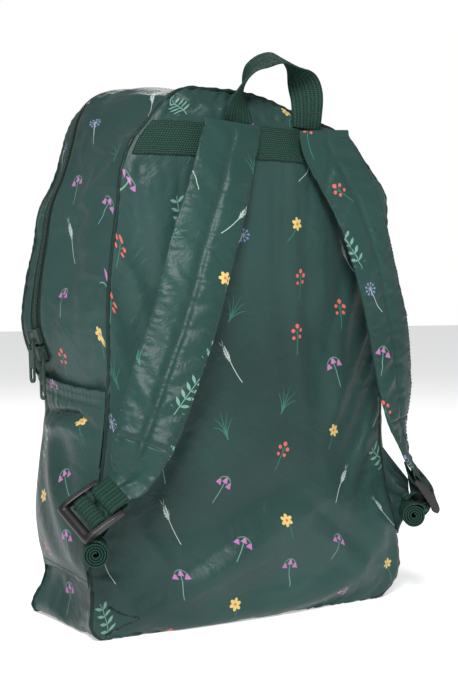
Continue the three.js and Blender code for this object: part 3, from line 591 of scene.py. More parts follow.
def printed(shader, base, u, v):
    """The base colour with the print over it."""
    column = (u / CELL_WIDE).of("FLOOR")
    stepped = v + (column * 0.5).of("FRACT") * CELL_HIGH
    row = (stepped / CELL_HIGH).of("FLOOR")
    white = shader.node("ShaderNodeTexWhiteNoise", Vector=shader.vector(column, row, 3.7))
    other = shader.node("ShaderNodeTexWhiteNoise", Vector=shader.vector(row, column, 8.3))
    split = shader.node("ShaderNodeSeparateColor", Color=white.outputs["Color"])
    jitter_x, jitter_y, lean = (shader.num(split.outputs[name]) for name in ("Red", "Green", "Blue"))
    x = u - (column + 0.5) * CELL_WIDE - (jitter_x - 0.5) * 15.0
    y = stepped - (row + 0.5) * CELL_HIGH - (jitter_y - 0.5) * 7.0
    angle = (lean - 0.5) * 1.3
    cos = angle.of("COSINE")
    sin = angle.of("SINE")
    x, y = (x * cos + y * sin) * MOTIF_SHRINK, (y * cos - x * sin) * MOTIF_SHRINK
    kind = (shader.num(other.outputs["Value"]) * (len(MOTIFS) - 0.001)).of("FLOOR")
    colour = base
    for index, motif in enumerate(MOTIFS):
        chosen = kind.of("COMPARE", float(index), 0.25)
        for mask, tint in motif(x, y):
            colour = shader.mix(mask * chosen * 0.72, colour, tint)
    return colour


CLOTH_DEEP = linear(26, 48, 45)
CLOTH_LIT = linear(46, 73, 69)
STRAP_DEEP = linear(25, 50, 46)
STRAP_LIT = linear(38, 68, 63)
# The webbing's two colours: the darker is painted shade for the hollows of the weave, the lighter is painted
# light for its ridges.
WEB_HOLLOW_SHADE = linear(8, 26, 21)
WEB_LIT = linear(34, 68, 58)


def cloth_material(name, deep, lit, with_print=True):
    """Thin coated plain weave with a soft sheen."""
    shader = Shader(name)
    u, v = shader.uv_mm()
    place = shader.place()
    cloudy = shader.noise(place, 7.0, 2.0)
    colour = shader.mix(cloudy.ramp(0.1, 0.9), deep, lit)
    if with_print:
        colour = printed(shader, colour, u, v)
    flat = shader.vector(u, v)
    threads = (u * (2 * math.pi / 0.52)).of("SINE") * (v * (2 * math.pi / 0.52)).of("SINE")
    crinkle = shader.noise(flat, 0.22, 4.0, 0.62, 0.4)
    grain = shader.noise(flat, 1.6, 2.0, 0.5)
    broad = shader.noise(flat, 0.055, 3.0, 0.5, 0.8)
    soft = shader.bump(broad.socket, 0.004, 0.35)
    soft = shader.bump(crinkle.socket, 0.001, 0.3, soft)
    normal = shader.bump((threads * 0.35 + grain).socket, 0.0001, 0.25, soft)
    shader.set(
        Base_Color=colour,
        Roughness=grain * 0.08 + 0.36,
        Normal=normal,
        Specular_IOR_Level=0.3,
        IOR=1.38,
        Sheen_Weight=0.03,
        Sheen_Roughness=0.5,
    )
    return shader.material


def webbing_material(name, pitch_along, pitch_across):
    """Woven webbing: u runs along it and v across it."""
    shader = Shader(name)
    u, v = shader.uv_mm()
    along = (u * (math.pi / pitch_along)).of("SINE").of("ABSOLUTE")
    step = (v / pitch_across).of("FLOOR") * 0.5
    shifted = ((u / pitch_along + step) * math.pi).of("SINE").of("ABSOLUTE")
    across = (v * (math.pi / pitch_across)).of("SINE").of("ABSOLUTE")
    height = shifted * 0.6 + across * 0.5 + along * 0.15
    fuzz = shader.noise(shader.vector(u, v), 3.0, 3.0, 0.6)
    # Painted shade and painted light: darker where the weave sinks, lighter where it rises, with random fuzz
    # in the tone.
    colour = shader.mix((height * 0.75 + fuzz * 0.35 - 0.25).ramp(0.1, 0.9), WEB_HOLLOW_SHADE, WEB_LIT)
    shader.set(
        Base_Color=colour,
        Roughness=fuzz * 0.15 + 0.6,
        Normal=shader.bump((height + fuzz * 0.3).socket, 0.0006, 1.0),
        Specular_IOR_Level=0.2,
    )
    return shader.material


def plastic_material(name):
    shader = Shader(name)
    place = shader.place()
    mottle = shader.noise(place, 90.0, 3.0, 0.6)
    fine = shader.noise(place, 900.0, 2.0, 0.5)
    shader.set(
        Base_Color=shader.mix(mottle, linear(9, 8, 9), linear(26, 21, 22)),
        Roughness=mottle * 0.16 + 0.3,
        Normal=shader.bump(fine.socket, 0.00012, 0.35),
        Specular_IOR_Level=0.5,
    )
    return shader.material


def enamel_material(name):
    shader = Shader(name)
    place = shader.place()
    worn = shader.noise(place, 420.0, 4.0, 0.65)
    shader.set(
        Base_Color=shader.mix(worn.ramp(0.55, 0.75), linear(52, 68, 63), linear(86, 96, 90)),
        Metallic=0.35,
        Roughness=worn * 0.2 + 0.28,
        Normal=shader.bump(worn.socket, 0.0001, 0.3),
    )
    return shader.material


def coil_material(name):
    shader = Shader(name)
    fine = shader.noise(shader.place(), 700.0, 3.0, 0.6)
    shader.set(
        Base_Color=shader.mix(fine, linear(22, 36, 34), linear(42, 60, 56)),
        Roughness=fine * 0.15 + 0.38,
        Normal=shader.bump(fine.socket, 0.00008, 0.3),
    )
    return shader.material


def thread_material(name):
    shader = Shader(name)
    twist = shader.noise(shader.place(), 1500.0, 2.0, 0.6)
    shader.set(
        Base_Color=shader.mix(twist, linear(8, 18, 16), linear(26, 44, 40)),
        Roughness=0.55,
        Sheen_Weight=0.2,
    )
    return shader.material


PRINTED = cloth_material("printed_cloth", CLOTH_DEEP, CLOTH_LIT)
STRAP_CLOTH = cloth_material("strap_cloth", STRAP_DEEP, STRAP_LIT)
PLAIN_CLOTH = cloth_material("plain_cloth", CLOTH_DEEP, CLOTH_LIT, with_print=False)
# Darker cloth for the seam ridges: painted shade along the seams.
SEAM_SHADE_CLOTH = cloth_material("seam_shade_cloth", linear(14, 30, 27), linear(24, 46, 42), with_print=False)
GRID_WEB = webbing_material("square_webbing", 1.9, 1.6)
RIB_WEB = webbing_material("ribbed_webbing", 1.25, 2.9)
TAPE = webbing_material("zip_tape_weave", 0.7, 0.9)
PLASTIC = plastic_material("buckle_plastic")
ENAMEL = enamel_material("zip_enamel")
COIL = coil_material("zip_coil_nylon")
THREAD = thread_material("thread")


# The body's cloth: one closed shell that settles by simulation, with its seams held
class Body:
    """Point numbers of the body's grids in one shell that is joined along its seams."""

    def __init__(self):
        self.points = []
        self.gusset = self.take(gusset_grid())
        self.back = self.panel(BACK_SEAM, BACK_CROWN, BACK_FOLDS, self.gusset[0])
        self.front = self.panel(FRONT_SEAM, FRONT_CROWN, FRONT_FOLDS, self.gusset[-1])
        self.base = self.base_grid()
        self.points = np.concatenate(self.points)

    def take(self, grid):
        start = sum(len(part) for part in self.points)
        self.points.append(grid.reshape(-1, 3))
        return start + np.arange(grid.shape[0] * grid.shape[1]).reshape(grid.shape[:2])

    def panel(self, seam, crown, folds, loop):
        numbers = self.take(panel_grid(seam, crown, folds))
        numbers[:, 0] = loop[:LEVEL_COUNT]
        numbers[:, -1] = loop[::-1][:LEVEL_COUNT]
        numbers[-1, :] = loop[LEVEL_COUNT - 1:LEVEL_COUNT + TOP_STEPS]
        return numbers

    def base_grid(self):
        points = np.concatenate(self.points)
        left = points[self.gusset[:, 0]]
        right = points[self.gusset[:, -1]]
        share = np.linspace(0, 1, TOP_STEPS + 1)[None, :, None]
        numbers = self.take(left[:, None] + (right - left)[:, None] * share)
        numbers[:, 0] = self.gusset[:, 0]
        numbers[:, -1] = self.gusset[:, -1]
        numbers[0] = self.back[0]
        numbers[-1] = self.front[0]
        return numbers

    def faces(self):
        parts = [self.gusset, self.back[:, ::-1], self.front, self.base]
        return np.concatenate([
            np.stack([g[:-1, :-1], g[:-1, 1:], g[1:, 1:], g[1:, :-1]], -1).reshape(-1, 4) for g in parts
        ])


SIM_FRAMES = 26
SLACK = 0.035
CAP_OUT = 4.5
CAP_IN = 7.0


def hold_shares(body):
    """How firmly each point is held: seams, base, zip, yoke and the cloth under what lies on it."""
    points = body.points
    hold = np.zeros(len(points))
    for seam in (body.gusset[0], body.gusset[-1], body.base.ravel()):
        hold[seam] = 1
    slot = body.gusset[GUSSET_STEPS:GUSSET_STEPS + SLOT_STEPS + 1]
    hold[slot.ravel()] = 1
    back = points[body.back]
    yoke = smooth(YOKE_FOOT - 6, YOKE_FOOT + 3, back[..., 2])
    yoke = yoke * (1 - smooth(YOKE_FOOT + 24, YOKE_FOOT + 32, back[..., 2]))
    hold[body.back] = np.maximum(hold[body.back], yoke)
    return hold


def settle_cloth(body):
    """Lets the shell settle with some spare cloth in it, and caps how far a point moves."""
    rest = body.points
    mesh = mesh_of("settling", rest, body.faces())
    piece = link("settling", mesh)
    used = np.unique(body.faces())
    group = piece.vertex_groups.new(name="held")
    hold = hold_shares(body)
    for number in used:
        if hold[number] > 0.02:
            group.add([int(number)], float(hold[number]), "REPLACE")
    cloth = piece.modifiers.new("Cloth", "CLOTH")
    settings = cloth.settings
    settings.quality = 6
    settings.mass = 0.1
    settings.tension_stiffness = 30
    settings.compression_stiffness = 12
    settings.shear_stiffness = 8
    settings.bending_stiffness = 0.15
    settings.tension_damping = 10
    settings.compression_damping = 10
    settings.shear_damping = 10
    settings.air_damping = 2
    settings.vertex_group_mass = "held"
    settings.pin_stiffness = 6
    settings.shrink_min = -SLACK
    settings.use_pressure = True
    settings.uniform_pressure_force = 0.6
    settings.effector_weights.gravity = 0.6
    scene = bpy.context.scene
    scene.frame_start = 1
    scene.frame_end = SIM_FRAMES
    cloth.point_cache.frame_start = 1
    cloth.point_cache.frame_end = SIM_FRAMES
    for number in range(1, SIM_FRAMES + 1):
        scene.frame_set(number)
        depsgraph = bpy.context.evaluated_depsgraph_get()
        evaluated = piece.evaluated_get(depsgraph)
        moved = np.empty(len(evaluated.data.vertices) * 3)
        evaluated.data.vertices.foreach_get("co", moved)
    moved = moved.reshape(-1, 3) / MM
    bpy.data.objects.remove(piece)
    bpy.data.meshes.remove(mesh)
    scene.frame_set(1)
    shift = moved - rest
    length = np.linalg.norm(shift, axis=1, keepdims=True)
    outward = rest - np.array([0, 0, 200])
    outward[:, 2] *= 0.3
    goes_out = (shift * outward).sum(1, keepdims=True) > 0
    cap = np.where(goes_out, CAP_OUT, CAP_IN)
    return rest + shift * np.tanh(length / cap) * cap / np.maximum(length, 1e-6)


def point_normals(points, faces):
    corners = points[faces]
    normal = np.cross(corners[:, 2] - corners[:, 0], corners[:, 3] - corners[:, 1])
    total = np.zeros_like(points)
    for corner in range(4):
        np.add.at(total, faces[:, corner], normal)
    return unit(total)


# Creases that the hanging harness and the boxed corners pull into the back panel
BACK_CREASES = rows_of("x z turn long wide deep", [
    (-62, 50, 22, 70, 7, 3.4),
    (-52, 34, 18, 66, 6, -3.0),
    (-20, 84, 30, 70, 10, 2.6),
    (-5, 66, 24, 60, 7, -2.4),
    (-92, 105, 66, 62, 8, 2.4),
    (-80, 120, 62, 60, 7, -2.2),
    (72, 60, -38, 55, 7, 2.6),
    (60, 48, -34, 50, 6, -2.4),
    (52, 205, 78, 95, 12, 2.4),
    (70, 225, 80, 80, 8, -2.2),
    (-8, 250, 96, 80, 13, -2.0),
    (-76, 386, -22, 34, 4, -3.4),
    (-70, 376, -14, 26, 4, 2.4),
    (-10, 384, 8, 42, 4, -3.6),
    (8, 377, -6, 36, 3, -2.2),
    (62, 378, 32, 30, 4, -3.0),
])


def creases(x, z):
    depth = 0
    for row in BACK_CREASES:
        turn = math.radians(row["turn"])
        along = ((x - row["x"]) * math.cos(turn) + (z - row["z"]) * math.sin(turn)) / row["long"]
        across = ((z - row["z"]) * math.cos(turn) - (x - row["x"]) * math.sin(turn)) / row["wide"]
        across = across + 0.8 * along**2
        depth = depth + row["deep"] * np.exp(-(along**4) - across**2)
    return depth


def length_along(points):
    steps = np.linalg.norm(np.diff(points, axis=0), axis=1)
    return np.concatenate([[0], np.cumsum(steps)])


# Puckers that the stitching pulls into the cloth beside a seam
PUCKER = 1.6
PUCKER_REACH = 15


def pucker(seed, along, away, reach=PUCKER_REACH, depth=PUCKER):
    tight = waves(seed, 14, 7, 16)
    broad = waves(seed + 1, 6, 30, 90)
    fall = (away / reach) * np.exp(1 - away / reach) * np.exp(-((away / (2.2 * reach)) ** 2))
    return depth * fall * (tight(along) * (0.75 + 0.5 * broad(along)))


def pucker_seams(body, points):
    """Moves the cloth beside the seams out and in, along its own normals."""
    shift = np.zeros(len(points))
    loop = points[body.gusset[0]]
    along = length_along(loop)
    ends = smooth(0, 25, along) * smooth(0, 25, along[-1] - along)
    for row, y in enumerate(DEPTHS):
        if 0 < row < GUSSET_STEPS:
            shift[body.gusset[row]] += ends * pucker(11, along, y + EDGE) * smooth(0, 10, SLOT_BACK - y)
    for seed, numbers in ((11, body.back), (41, body.front)):
        rows, columns = numbers.shape
        grid = points[numbers]
        side = np.linalg.norm(grid[:, 1:] - grid[:, :-1], axis=2)
        from_left = np.concatenate([np.zeros((rows, 1)), np.cumsum(side, axis=1)], 1)
        from_right = from_left[:, -1:] - from_left
        left_along = along[:LEVEL_COUNT][:, None]
        right_along = along[::-1][:LEVEL_COUNT][:, None]
        inner = pucker(seed, left_along, from_left) + pucker(seed, right_along, from_right)
        top = np.maximum(grid[-1:, :, 2] - grid[..., 2], 0)
        inner = inner + pucker(seed + 5, grid[..., 0] + 0.5 * top, top, 22, 2.6)
        if seed == 11:
            rim = smooth(0, 14, np.minimum(from_left, from_right)) * smooth(0, 10, top)
            band = smooth(0, 9, np.abs(grid[..., 2] - YOKE_FOOT - WEB_WIDTH / 2) - WEB_WIDTH / 2)
            below = np.maximum(YOKE_FOOT - grid[..., 2], 0)
            gathers = pucker(71, grid[..., 0], below, 11, 2.4) * rim
            inner = (inner + gathers + creases(grid[..., 0], grid[..., 2]) * rim) * (0.1 + 0.9 * band)
        inner[0] = inner[-1] = 0
        inner[:, 0] = inner[:, -1] = 0
        shift[numbers] += inner * smooth(0, 20, grid[..., 2])
    return points + point_normals(points, body.faces()) * shift[:, None]


def grid_uv(points):
    """Real lengths along the rows and up the columns of a grid of points."""
    across = np.linalg.norm(np.diff(points, axis=1), axis=2)
    up = np.linalg.norm(np.diff(points, axis=0), axis=2)
    u = np.concatenate([np.zeros((points.shape[0], 1)), np.cumsum(across, axis=1)], 1)
    v = np.concatenate([np.zeros((1, points.shape[1])), np.cumsum(up, axis=0)], 0)
    return np.stack([u - u[:, -1:] / 2, v], -1)


def cloth_piece(name, grid, kept, uvs, material, slot, *nodes, thickness=0.7):
    """A piece of the body's cloth from a grid of its points, with the faces that are kept."""
    rows, columns = grid.shape[:2]
    faces = [
        (i * columns + j, i * columns + j + 1, (i + 1) * columns + j + 1, (i + 1) * columns + j)
        for i in range(rows - 1) for j in range(columns - 1) if kept(i, j)
    ]
    used, numbers = np.unique(np.array(faces), return_inverse=True)
    mesh = mesh_of(name, grid.reshape(-1, 3)[used], numbers.reshape(-1, 4), uvs.reshape(-1, 2)[used])
    piece = piece_of(name, mesh, material, slot, *nodes)
    finer = piece.modifiers.new("finer", "SUBSURF")
    finer.levels = finer.render_levels = 1
    finer.uv_smooth = "PRESERVE_BOUNDARIES"
    wall = piece.modifiers.new("wall", "SOLIDIFY")
    wall.thickness = thickness * MM
    wall.offset = -1
    return piece


def in_slot(row, station):
    return GUSSET_STEPS <= row < GUSSET_STEPS + SLOT_STEPS and ZIP_FIRST <= station < ZIP_LAST


def body_pieces(body, points):
    always = lambda i, j: True
    back = points[body.back][:, ::-1]
    uvs = grid_uv(back)
    cloth_piece("back_panel_cloth", back, always, uvs, PRINTED, "cloth", "back_panel")
    front = points[body.front]
    front_uv = grid_uv(front) + [130, 40]
    cloth_piece("front_panel_cloth", front, always, front_uv, PRINTED, "cloth", "front_panel")
    band = points[body.gusset]
    uvs = grid_uv(band)[..., ::-1] + [17, 300]
    cloth_piece("gusset_cloth", band, lambda i, j: not in_slot(i, j), uvs, PRINTED, "cloth", "gusset")
    base = points[body.base][:, ::-1]
    cloth_piece("base_cloth", base, always, grid_uv(base) + [60, 10], PRINTED, "cloth", "base_panel")


# Ribbons
def curve_through(points, count):
    """Centripetal curve through the points, with even steps between each two of them."""
    points = np.asarray(points, float)
    rows = np.vstack([2 * points[0] - points[1], points, 2 * points[-1] - points[-2]])
    at = np.linspace(0, len(points) - 1, count)
    low = np.minimum(at.astype(int), len(points) - 2)
    s = (at - low)[:, None]
    before, start, end, after = rows[low], rows[low + 1], rows[low + 2], rows[low + 3]
    first, middle, last = (
        np.maximum(np.linalg.norm(b - a, axis=1, keepdims=True), 1e-6) ** 0.5
        for a, b in ((before, start), (start, end), (end, after))
    )
    leave = ((start - before) / first - (end - before) / (first + middle) + (end - start) / middle) * middle
    enter = ((end - start) / middle - (after - start) / (middle + last) + (after - end) / last) * middle
    turn = 2 * start - 2 * end + leave + enter
    bend = 3 * end - 3 * start - 2 * leave - enter
    return start + leave * s + bend * s**2 + turn * s**3


class Path:
    """Even steps along a ribbon: its middle, its directions across and out, its width and thickness."""

    def __init__(self, stations, step):
        rows = np.array([[*point, *wide, width, thick] for point, wide, width, thick in stations], float)
        dense = curve_through(rows[:, :3], 40 * (len(rows) - 1) + 1)
        length = length_along(dense)
        self.count = max(int(round(length[-1] / step)) + 1, 4)
        self.along = np.linspace(0, length[-1], self.count)
        at = np.interp(self.along, length, np.linspace(0, len(rows) - 1, len(dense)))
        self.centre = np.stack([np.interp(self.along, length, dense[:, k]) for k in range(3)], -1)
        rest = np.stack([curve_value(np.arange(len(rows)), rows[:, k], at) for k in range(3, 8)], -1)
        tangent = unit(np.gradient(self.centre, axis=0))
        across = rest[:, :3] - tangent * (rest[:, :3] * tangent).sum(-1, keepdims=True)
        self.wide = unit(across)
        self.out = np.cross(tangent, self.wide)
        self.width = rest[:, 3]
        self.thick = rest[:, 4]

    def at(self, across, out):
        """Points beside the middle, for arrays with one row for each step."""
        return (
            self.centre[:, None]
            + self.wide[:, None] * np.asarray(across)[..., None]
            + self.out[:, None] * np.asarray(out)[..., None]
        )


def closed_piece(name, grid, uvs, material, slot, *nodes, ends=True):
    """A piece from rings of points, closed round each ring and over both ends."""
    rings, around = grid.shape[:2]
    faces = grid_faces(rings, around, wrap=True)
    if ends:
        faces.append(tuple(range(around)))
        faces.append(tuple(range((rings - 1) * around, rings * around)))
    mesh = mesh_of(name, grid.reshape(-1, 3), faces, np.asarray(uvs).reshape(-1, 2))
    shape = bmesh.new()
    shape.from_mesh(mesh)
    bmesh.ops.recalc_face_normals(shape, faces=shape.faces)
    shape.to_mesh(mesh)
    shape.free()
    return piece_of(name, mesh, material, slot, *nodes)


def web_loop(width, thick):
    """Section of webbing with round edges, across and out."""
    half = (width - thick) / 2
    flat = np.linspace(half, -half, 12)
    turn = np.radians([120, 150, 180, 210, 240])
    across = np.concatenate([flat, -half + thick / 2 * np.cos(turn), -flat, half - thick / 2 * np.cos(turn)])
    out = np.concatenate([np.full(12, thick / 2), thick / 2 * np.sin(turn), np.full(12, -thick / 2),
                          -thick / 2 * np.sin(turn)])
    return across, out


def web_ribbon(name, stations, material, *nodes, step=0.9, rib=0.0, pitch=1.25, wave=0.0, seed=3):
    path = Path(stations, step)
    across, out = web_loop(WEB_WIDTH, WEB)
    ribs = rib * np.abs(np.sin(path.along * math.pi / pitch))[:, None] * np.sign(out)[None, :]
    ripple = wave * waves(seed, 8, 9, 30)(path.along)[:, None] * (np.abs(across) / across.max())[None, :] ** 2
    grid = path.at(np.broadcast_to(across, (path.count, len(across))), out[None, :] + ribs + ripple)
    uvs = np.stack(np.broadcast_arrays(path.along[:, None], across[None, :]), -1)
    closed_piece(name, grid, uvs, material, "webbing", *nodes)
    return path


# Stitches and zip teeth: short round bars, each from a start to an end and lifted in its middle
BAR_RINGS = np.array([0.0, 0.12, 0.5, 0.88, 1.0])
BAR_ROUND = np.array([0.35, 0.85, 1.0, 0.85, 0.35])
BAR_SIDES = 6


def bars(starts, ends, normals, radius, lift):
    starts, ends, normals = (np.asarray(part, float) for part in (starts, ends, normals))
    run = unit(ends - starts)
    normal = unit(normals - run * (normals * run).sum(-1, keepdims=True))
    side = np.cross(run, normal)
    centre = starts[:, None] + (ends - starts)[:, None] * BAR_RINGS[None, :, None]
    centre = centre + normal[:, None] * (lift * np.sin(math.pi * BAR_RINGS))[None, :, None]
    turn = np.linspace(0, 2 * math.pi, BAR_SIDES, endpoint=False)
    ring = side[:, None, None] * np.cos(turn)[None, None, :, None]
    ring = ring + normal[:, None, None] * np.sin(turn)[None, None, :, None]
    points = centre[:, :, None] + ring * (radius * BAR_ROUND)[None, :, None, None]
    one = grid_faces(len(BAR_RINGS), BAR_SIDES, wrap=True)
    one = [face[::-1] for face in one]
    one.append(tuple(range(BAR_SIDES)))
    one.append(tuple(range(len(BAR_RINGS) * BAR_SIDES - 1, (len(BAR_RINGS) - 1) * BAR_SIDES - 1, -1)))
    size = len(BAR_RINGS) * BAR_SIDES
    faces = [tuple(int(i) + size * n for i in face) for n in range(len(starts)) for face in one]
    return points.reshape(-1, 3), faces


def interpolated(at, length, rows):
    return np.stack([np.interp(at, length, rows[:, k]) for k in range(3)], -1)


class Thread:
    """Collects lines of stitches into one piece."""

    def __init__(self):
        self.starts = []
        self.ends = []
        self.normals = []

    def line(self, points, normals, stitch=2.8, gap=0.9):
        points = np.asarray(points, float)
        normals = np.broadcast_to(np.asarray(normals, float), points.shape)
        length = length_along(points)
        begins = np.arange(gap, length[-1] - stitch, stitch + gap)
        for offset, target in ((0, self.starts), (stitch, self.ends)):
            target.extend(interpolated(begins + offset, length, points))
        self.normals.extend(interpolated(begins + stitch / 2, length, normals))

    def piece(self, name, slot, radius=0.3, lift=0.14):
        points, faces = bars(self.starts, self.ends, self.normals, radius, lift)
        return piece_of(name, mesh_of(name, points, faces), THREAD, slot)


# Shoulder straps: across of half width, up of body height, out of strap reach, width and thickness as shares
STRAP_ROWS = {
    "left": rows_of("across up out width thick turn", [
        (-0.300, 0.907, 0.44, 0.98, 0.45, 0),
        (-0.305, 0.885, 0.46, 0.98, 0.50, 0),
        (-0.335, 0.855, 0.48, 1.00, 0.55, 0),
        (-0.392, 0.790, 0.53, 1.02, 0.80, -4),
        (-0.515, 0.686, 0.64, 1.02, 1.00, -12),
        (-0.650, 0.556, 0.74, 1.00, 1.00, -20),
        (-0.760, 0.471, 0.79, 1.00, 1.00, -25),
        (-0.868, 0.381, 0.83, 0.95, 0.90, -30),
        (-0.925, 0.340, 0.85, 0.86, 0.70, -34),
    ]),
    "right": rows_of("across up out width thick turn", [
        (0.302, 0.905, 0.44, 0.95, 0.45, 0),
        (0.310, 0.880, 0.46, 0.97, 0.50, 0),
        (0.395, 0.835, 0.49, 1.00, 0.60, 0),
        (0.505, 0.770, 0.55, 1.02, 0.85, 2),
        (0.578, 0.690, 0.63, 1.00, 1.00, 9),
        (0.640, 0.607, 0.69, 1.00, 1.00, 12),
        (0.688, 0.545, 0.70, 1.00, 1.00, 12),
        (0.720, 0.470, 0.72, 0.97, 1.00, 15),
        (0.745, 0.405, 0.73, 0.93, 0.90, 22),
        (0.764, 0.345, 0.735, 0.84, 0.70, 36),
    ]),
}
LOCK_PLACES = {
    "left": dict(
        across=-1.156, out=0.565, up=0.237, along=(-0.8, 0.16, -0.57), wide=(0.26, -0.77, -0.58),
        roll_axis=(-0.4, -0.9, 0), roll=(0.4, 0.49, -0.55), start=60, spin=-1,
        tip=(0, -0.15, -0.68), tip_down=(0.32, -0.6, -0.7),
    ),
    "right": dict(
        across=0.925, out=0.837, up=0.227, along=(0.6, -0.1, -0.79), wide=(0.4, 0.8, 0.4),
        roll_axis=(0.52, 0.85, 0), roll=(0.18, -0.45, -0.51), start=90, spin=1,
        tip=(0.17, 0.47, -0.45), tip_down=(-0.15, -0.35, -0.92),
    ),
}
BAR_PLACES = [-LOCK_LENGTH / 2 + LOCK_BAR / 2 + 0.6, 0.6, LOCK_LENGTH / 2 - LOCK_BAR / 2 - 0.6]
TURN_RADIUS = LOCK_BAR / 2 + 0.3 + WEB / 2
STRAP_TAIL = 10
SIGN = {"left": -1, "right": 1}


def lock_frame(side):
    place = LOCK_PLACES[side]
    along = unit(place["along"])
    wide = np.array(place["wide"], float)
    wide = unit(wide - along * (wide @ along))
    origin = np.array([
        place["across"] * HALF_WIDTH, BACK_SEAM - place["out"] * STRAP_REACH, place["up"] * BODY_HEIGHT,
    ])
    return along, wide, np.cross(along, wide), origin


def lock_point(side, along, wide, out):
    x, y, z, origin = lock_frame(side)
    return origin + x * along + y * wide + z * out


BAR_HUMP = 5.2


def around_bar(side, along, start, end, count):
    """Slack webbing over a bar, wider than it is high."""
    angles = np.radians(np.linspace(start, end, count + 1))
    rise = TURN_RADIUS + 0.4
    return [lock_point(side, along + BAR_HUMP * math.cos(a), 0, rise * math.sin(a)) for a in angles]


def strap_stations(side):
    stations = []
    for row in STRAP_ROWS[side]:
        turn = math.radians(row["turn"])
        stations.append((
            (row["across"] * HALF_WIDTH, BACK_SEAM - row["out"] * STRAP_REACH, row["up"] * BODY_HEIGHT),
            (math.cos(turn), math.sin(turn), 0), row["width"] * STRAP_WIDTH, row["thick"] * STRAP_THICK,
        ))
    tip = BAR_PLACES[0] - STRAP_TAIL - 0.3
    wide = lock_frame(side)[1]
    before = np.array(stations[-1][1]) * 0.4 + wide * 0.6
    stations.append((lock_point(side, tip - 9, 0, TURN_RADIUS + 2), before, WEB_WIDTH + 6, STRAP_THICK * 0.6))
    stations.append((lock_point(side, tip, 0, TURN_RADIUS + 0.4), wide, WEB_WIDTH + 1, STRAP_THICK * 0.45))
    return stations


STRAP_AROUND = 40
TACK_BACK = 36


def shoulder_strap(side, thread):
    path = Path(strap_stations(side), 0.9)
    seed = 60 if side == "left" else 80
    u = np.cos(np.linspace(0, math.pi, STRAP_AROUND + 1))
    u = np.sign(u) * np.abs(u) ** 0.85
    along = path.along[:, None]
    left = path.along[-1] - along
    half = path.width[:, None] / 2
    near_end = smooth(60, 10, left)
    groove = np.exp(-((u / 0.1) ** 2))
    lobe = (1 - np.abs(u) ** 2.6) ** 0.7
    height = 0.75 + (path.thick[:, None] * 0.62 - 0.75) * lobe[None, :]
    height = height * (1 - 0.82 * groove[None, :])
    beside_seam = np.exp(-(((np.abs(u) - 0.16) / 0.16) ** 2))[None, :]
    beside_edge = np.exp(-(((np.abs(u) - 0.82) / 0.13) ** 2))[None, :]
    tight = waves(seed, 16, 5, 13)
    slant = waves(seed + 1, 10, 13, 42)
    broad = waves(seed + 2, 6, 45, 110)
    lean = np.abs(u)[None, :] * 16 * (-1) ** (seed == 80)
    front = height + 0.4 * tight(along) * beside_seam + 0.45 * tight(along + 31) * beside_edge
    front = front + 1.1 * slant(along + lean) * (lobe * (1 - groove))[None, :]
    front = front + 0.6 * broad(along - lean) * lobe[None, :]
    crush = near_end * lobe[None, :] * (0.9 * waves(seed + 5, 10, 6, 15)(along * 0.35 + u[None, :] * 13))
    tack = np.exp(-(((left - TACK_BACK) / 1.3) ** 2))
    front = (front + crush) * (1 - 0.45 * tack)
    rear = -height * 0.95 + 0.5 * slant(along + 40 - lean) * lobe[None, :]
    front = np.maximum(front, 0.55)
    rear = np.minimum(rear, -0.55)
    ragged = 1 + (0.35 * waves(seed + 7, 12, 8, 30)(along) + 0.6 * near_end * tight(along)) / half
    across = half * u[None, :] * ragged
    grid_across = np.concatenate([across, across[:, -2:0:-1]], 1)
    grid_out = np.concatenate([front, rear[:, -2:0:-1]], 1)
    grid = path.at(grid_across, grid_out)
    uvs = np.stack(np.broadcast_arrays(grid_across + (0 if side == "left" else 90), -along), -1)
    name = f"strap_pad_{side}"
    piece = closed_piece(name, grid, uvs, STRAP_CLOTH, "strap_cloth", f"shoulder_strap_{side}")
    columns = {"seam": STRAP_AROUND // 2, "low": 5, "high": STRAP_AROUND - 5}
    ends = slice(4, path.count - 8)
    for column in columns.values():
        thread.line(grid[ends, column] + path.out[ends] * 0.12, path.out[ends], stitch=2.2, gap=0.8)
    row = path.count - 1 - int(TACK_BACK / 0.9)
    for step in (0, 3):
        line = grid[row - step, 5:STRAP_AROUND - 4]
        thread.line(line + path.out[row] * 0.15, path.out[row], stitch=2.0, gap=0.7)


def web_station(point, wide):
    return point, wide, WEB_WIDTH, WEB


def strap_webbing(side):
    wide = lock_frame(side)[1]
    first = BAR_PLACES[0]
    route = [
        lock_point(side, first - STRAP_TAIL, 0, TURN_RADIUS + 0.4),
        lock_point(side, first - STRAP_TAIL / 2, 0, TURN_RADIUS + 0.2),
        *around_bar(side, first, 90, -90, 6),
        lock_point(side, first - STRAP_TAIL / 2, 0, -TURN_RADIUS - 0.2),
        lock_point(side, first - STRAP_TAIL + 2, 0, -TURN_RADIUS + 0.2),
    ]
    web_ribbon(f"strap_web_{side}", [web_station(p, wide) for p in route], RIB_WEB,
               f"strap_webbing_{side}", step=0.4, rib=0.1)


def lock_spot(side, spot):
    return lock_point(side, *(np.array(spot) * LOCK_LENGTH))


def roll_stations(side):
    place = LOCK_PLACES[side]
    axis = unit(place["roll_axis"])
    up = np.array([0, 0, 1.0])
    right = np.cross(up, axis) * (1 if side == "left" else -1)
    centre = lock_spot(side, place["roll"])
    turns = np.linspace(0, ROLL_TURNS, ROLL_TURNS * 12 + 1)
    angle = math.radians(place["start"]) + place["spin"] * 2 * math.pi * turns
    radius = ROLL_RADIUS - WEB / 2 - (WEB + 0.5) * turns
    points = centre + right * (radius * np.cos(angle))[:, None] + up * (radius * np.sin(angle))[:, None]
    return [web_station(point, axis) for point in points]


def tab_down(side):
    return unit(LOCK_PLACES[side]["tip_down"])


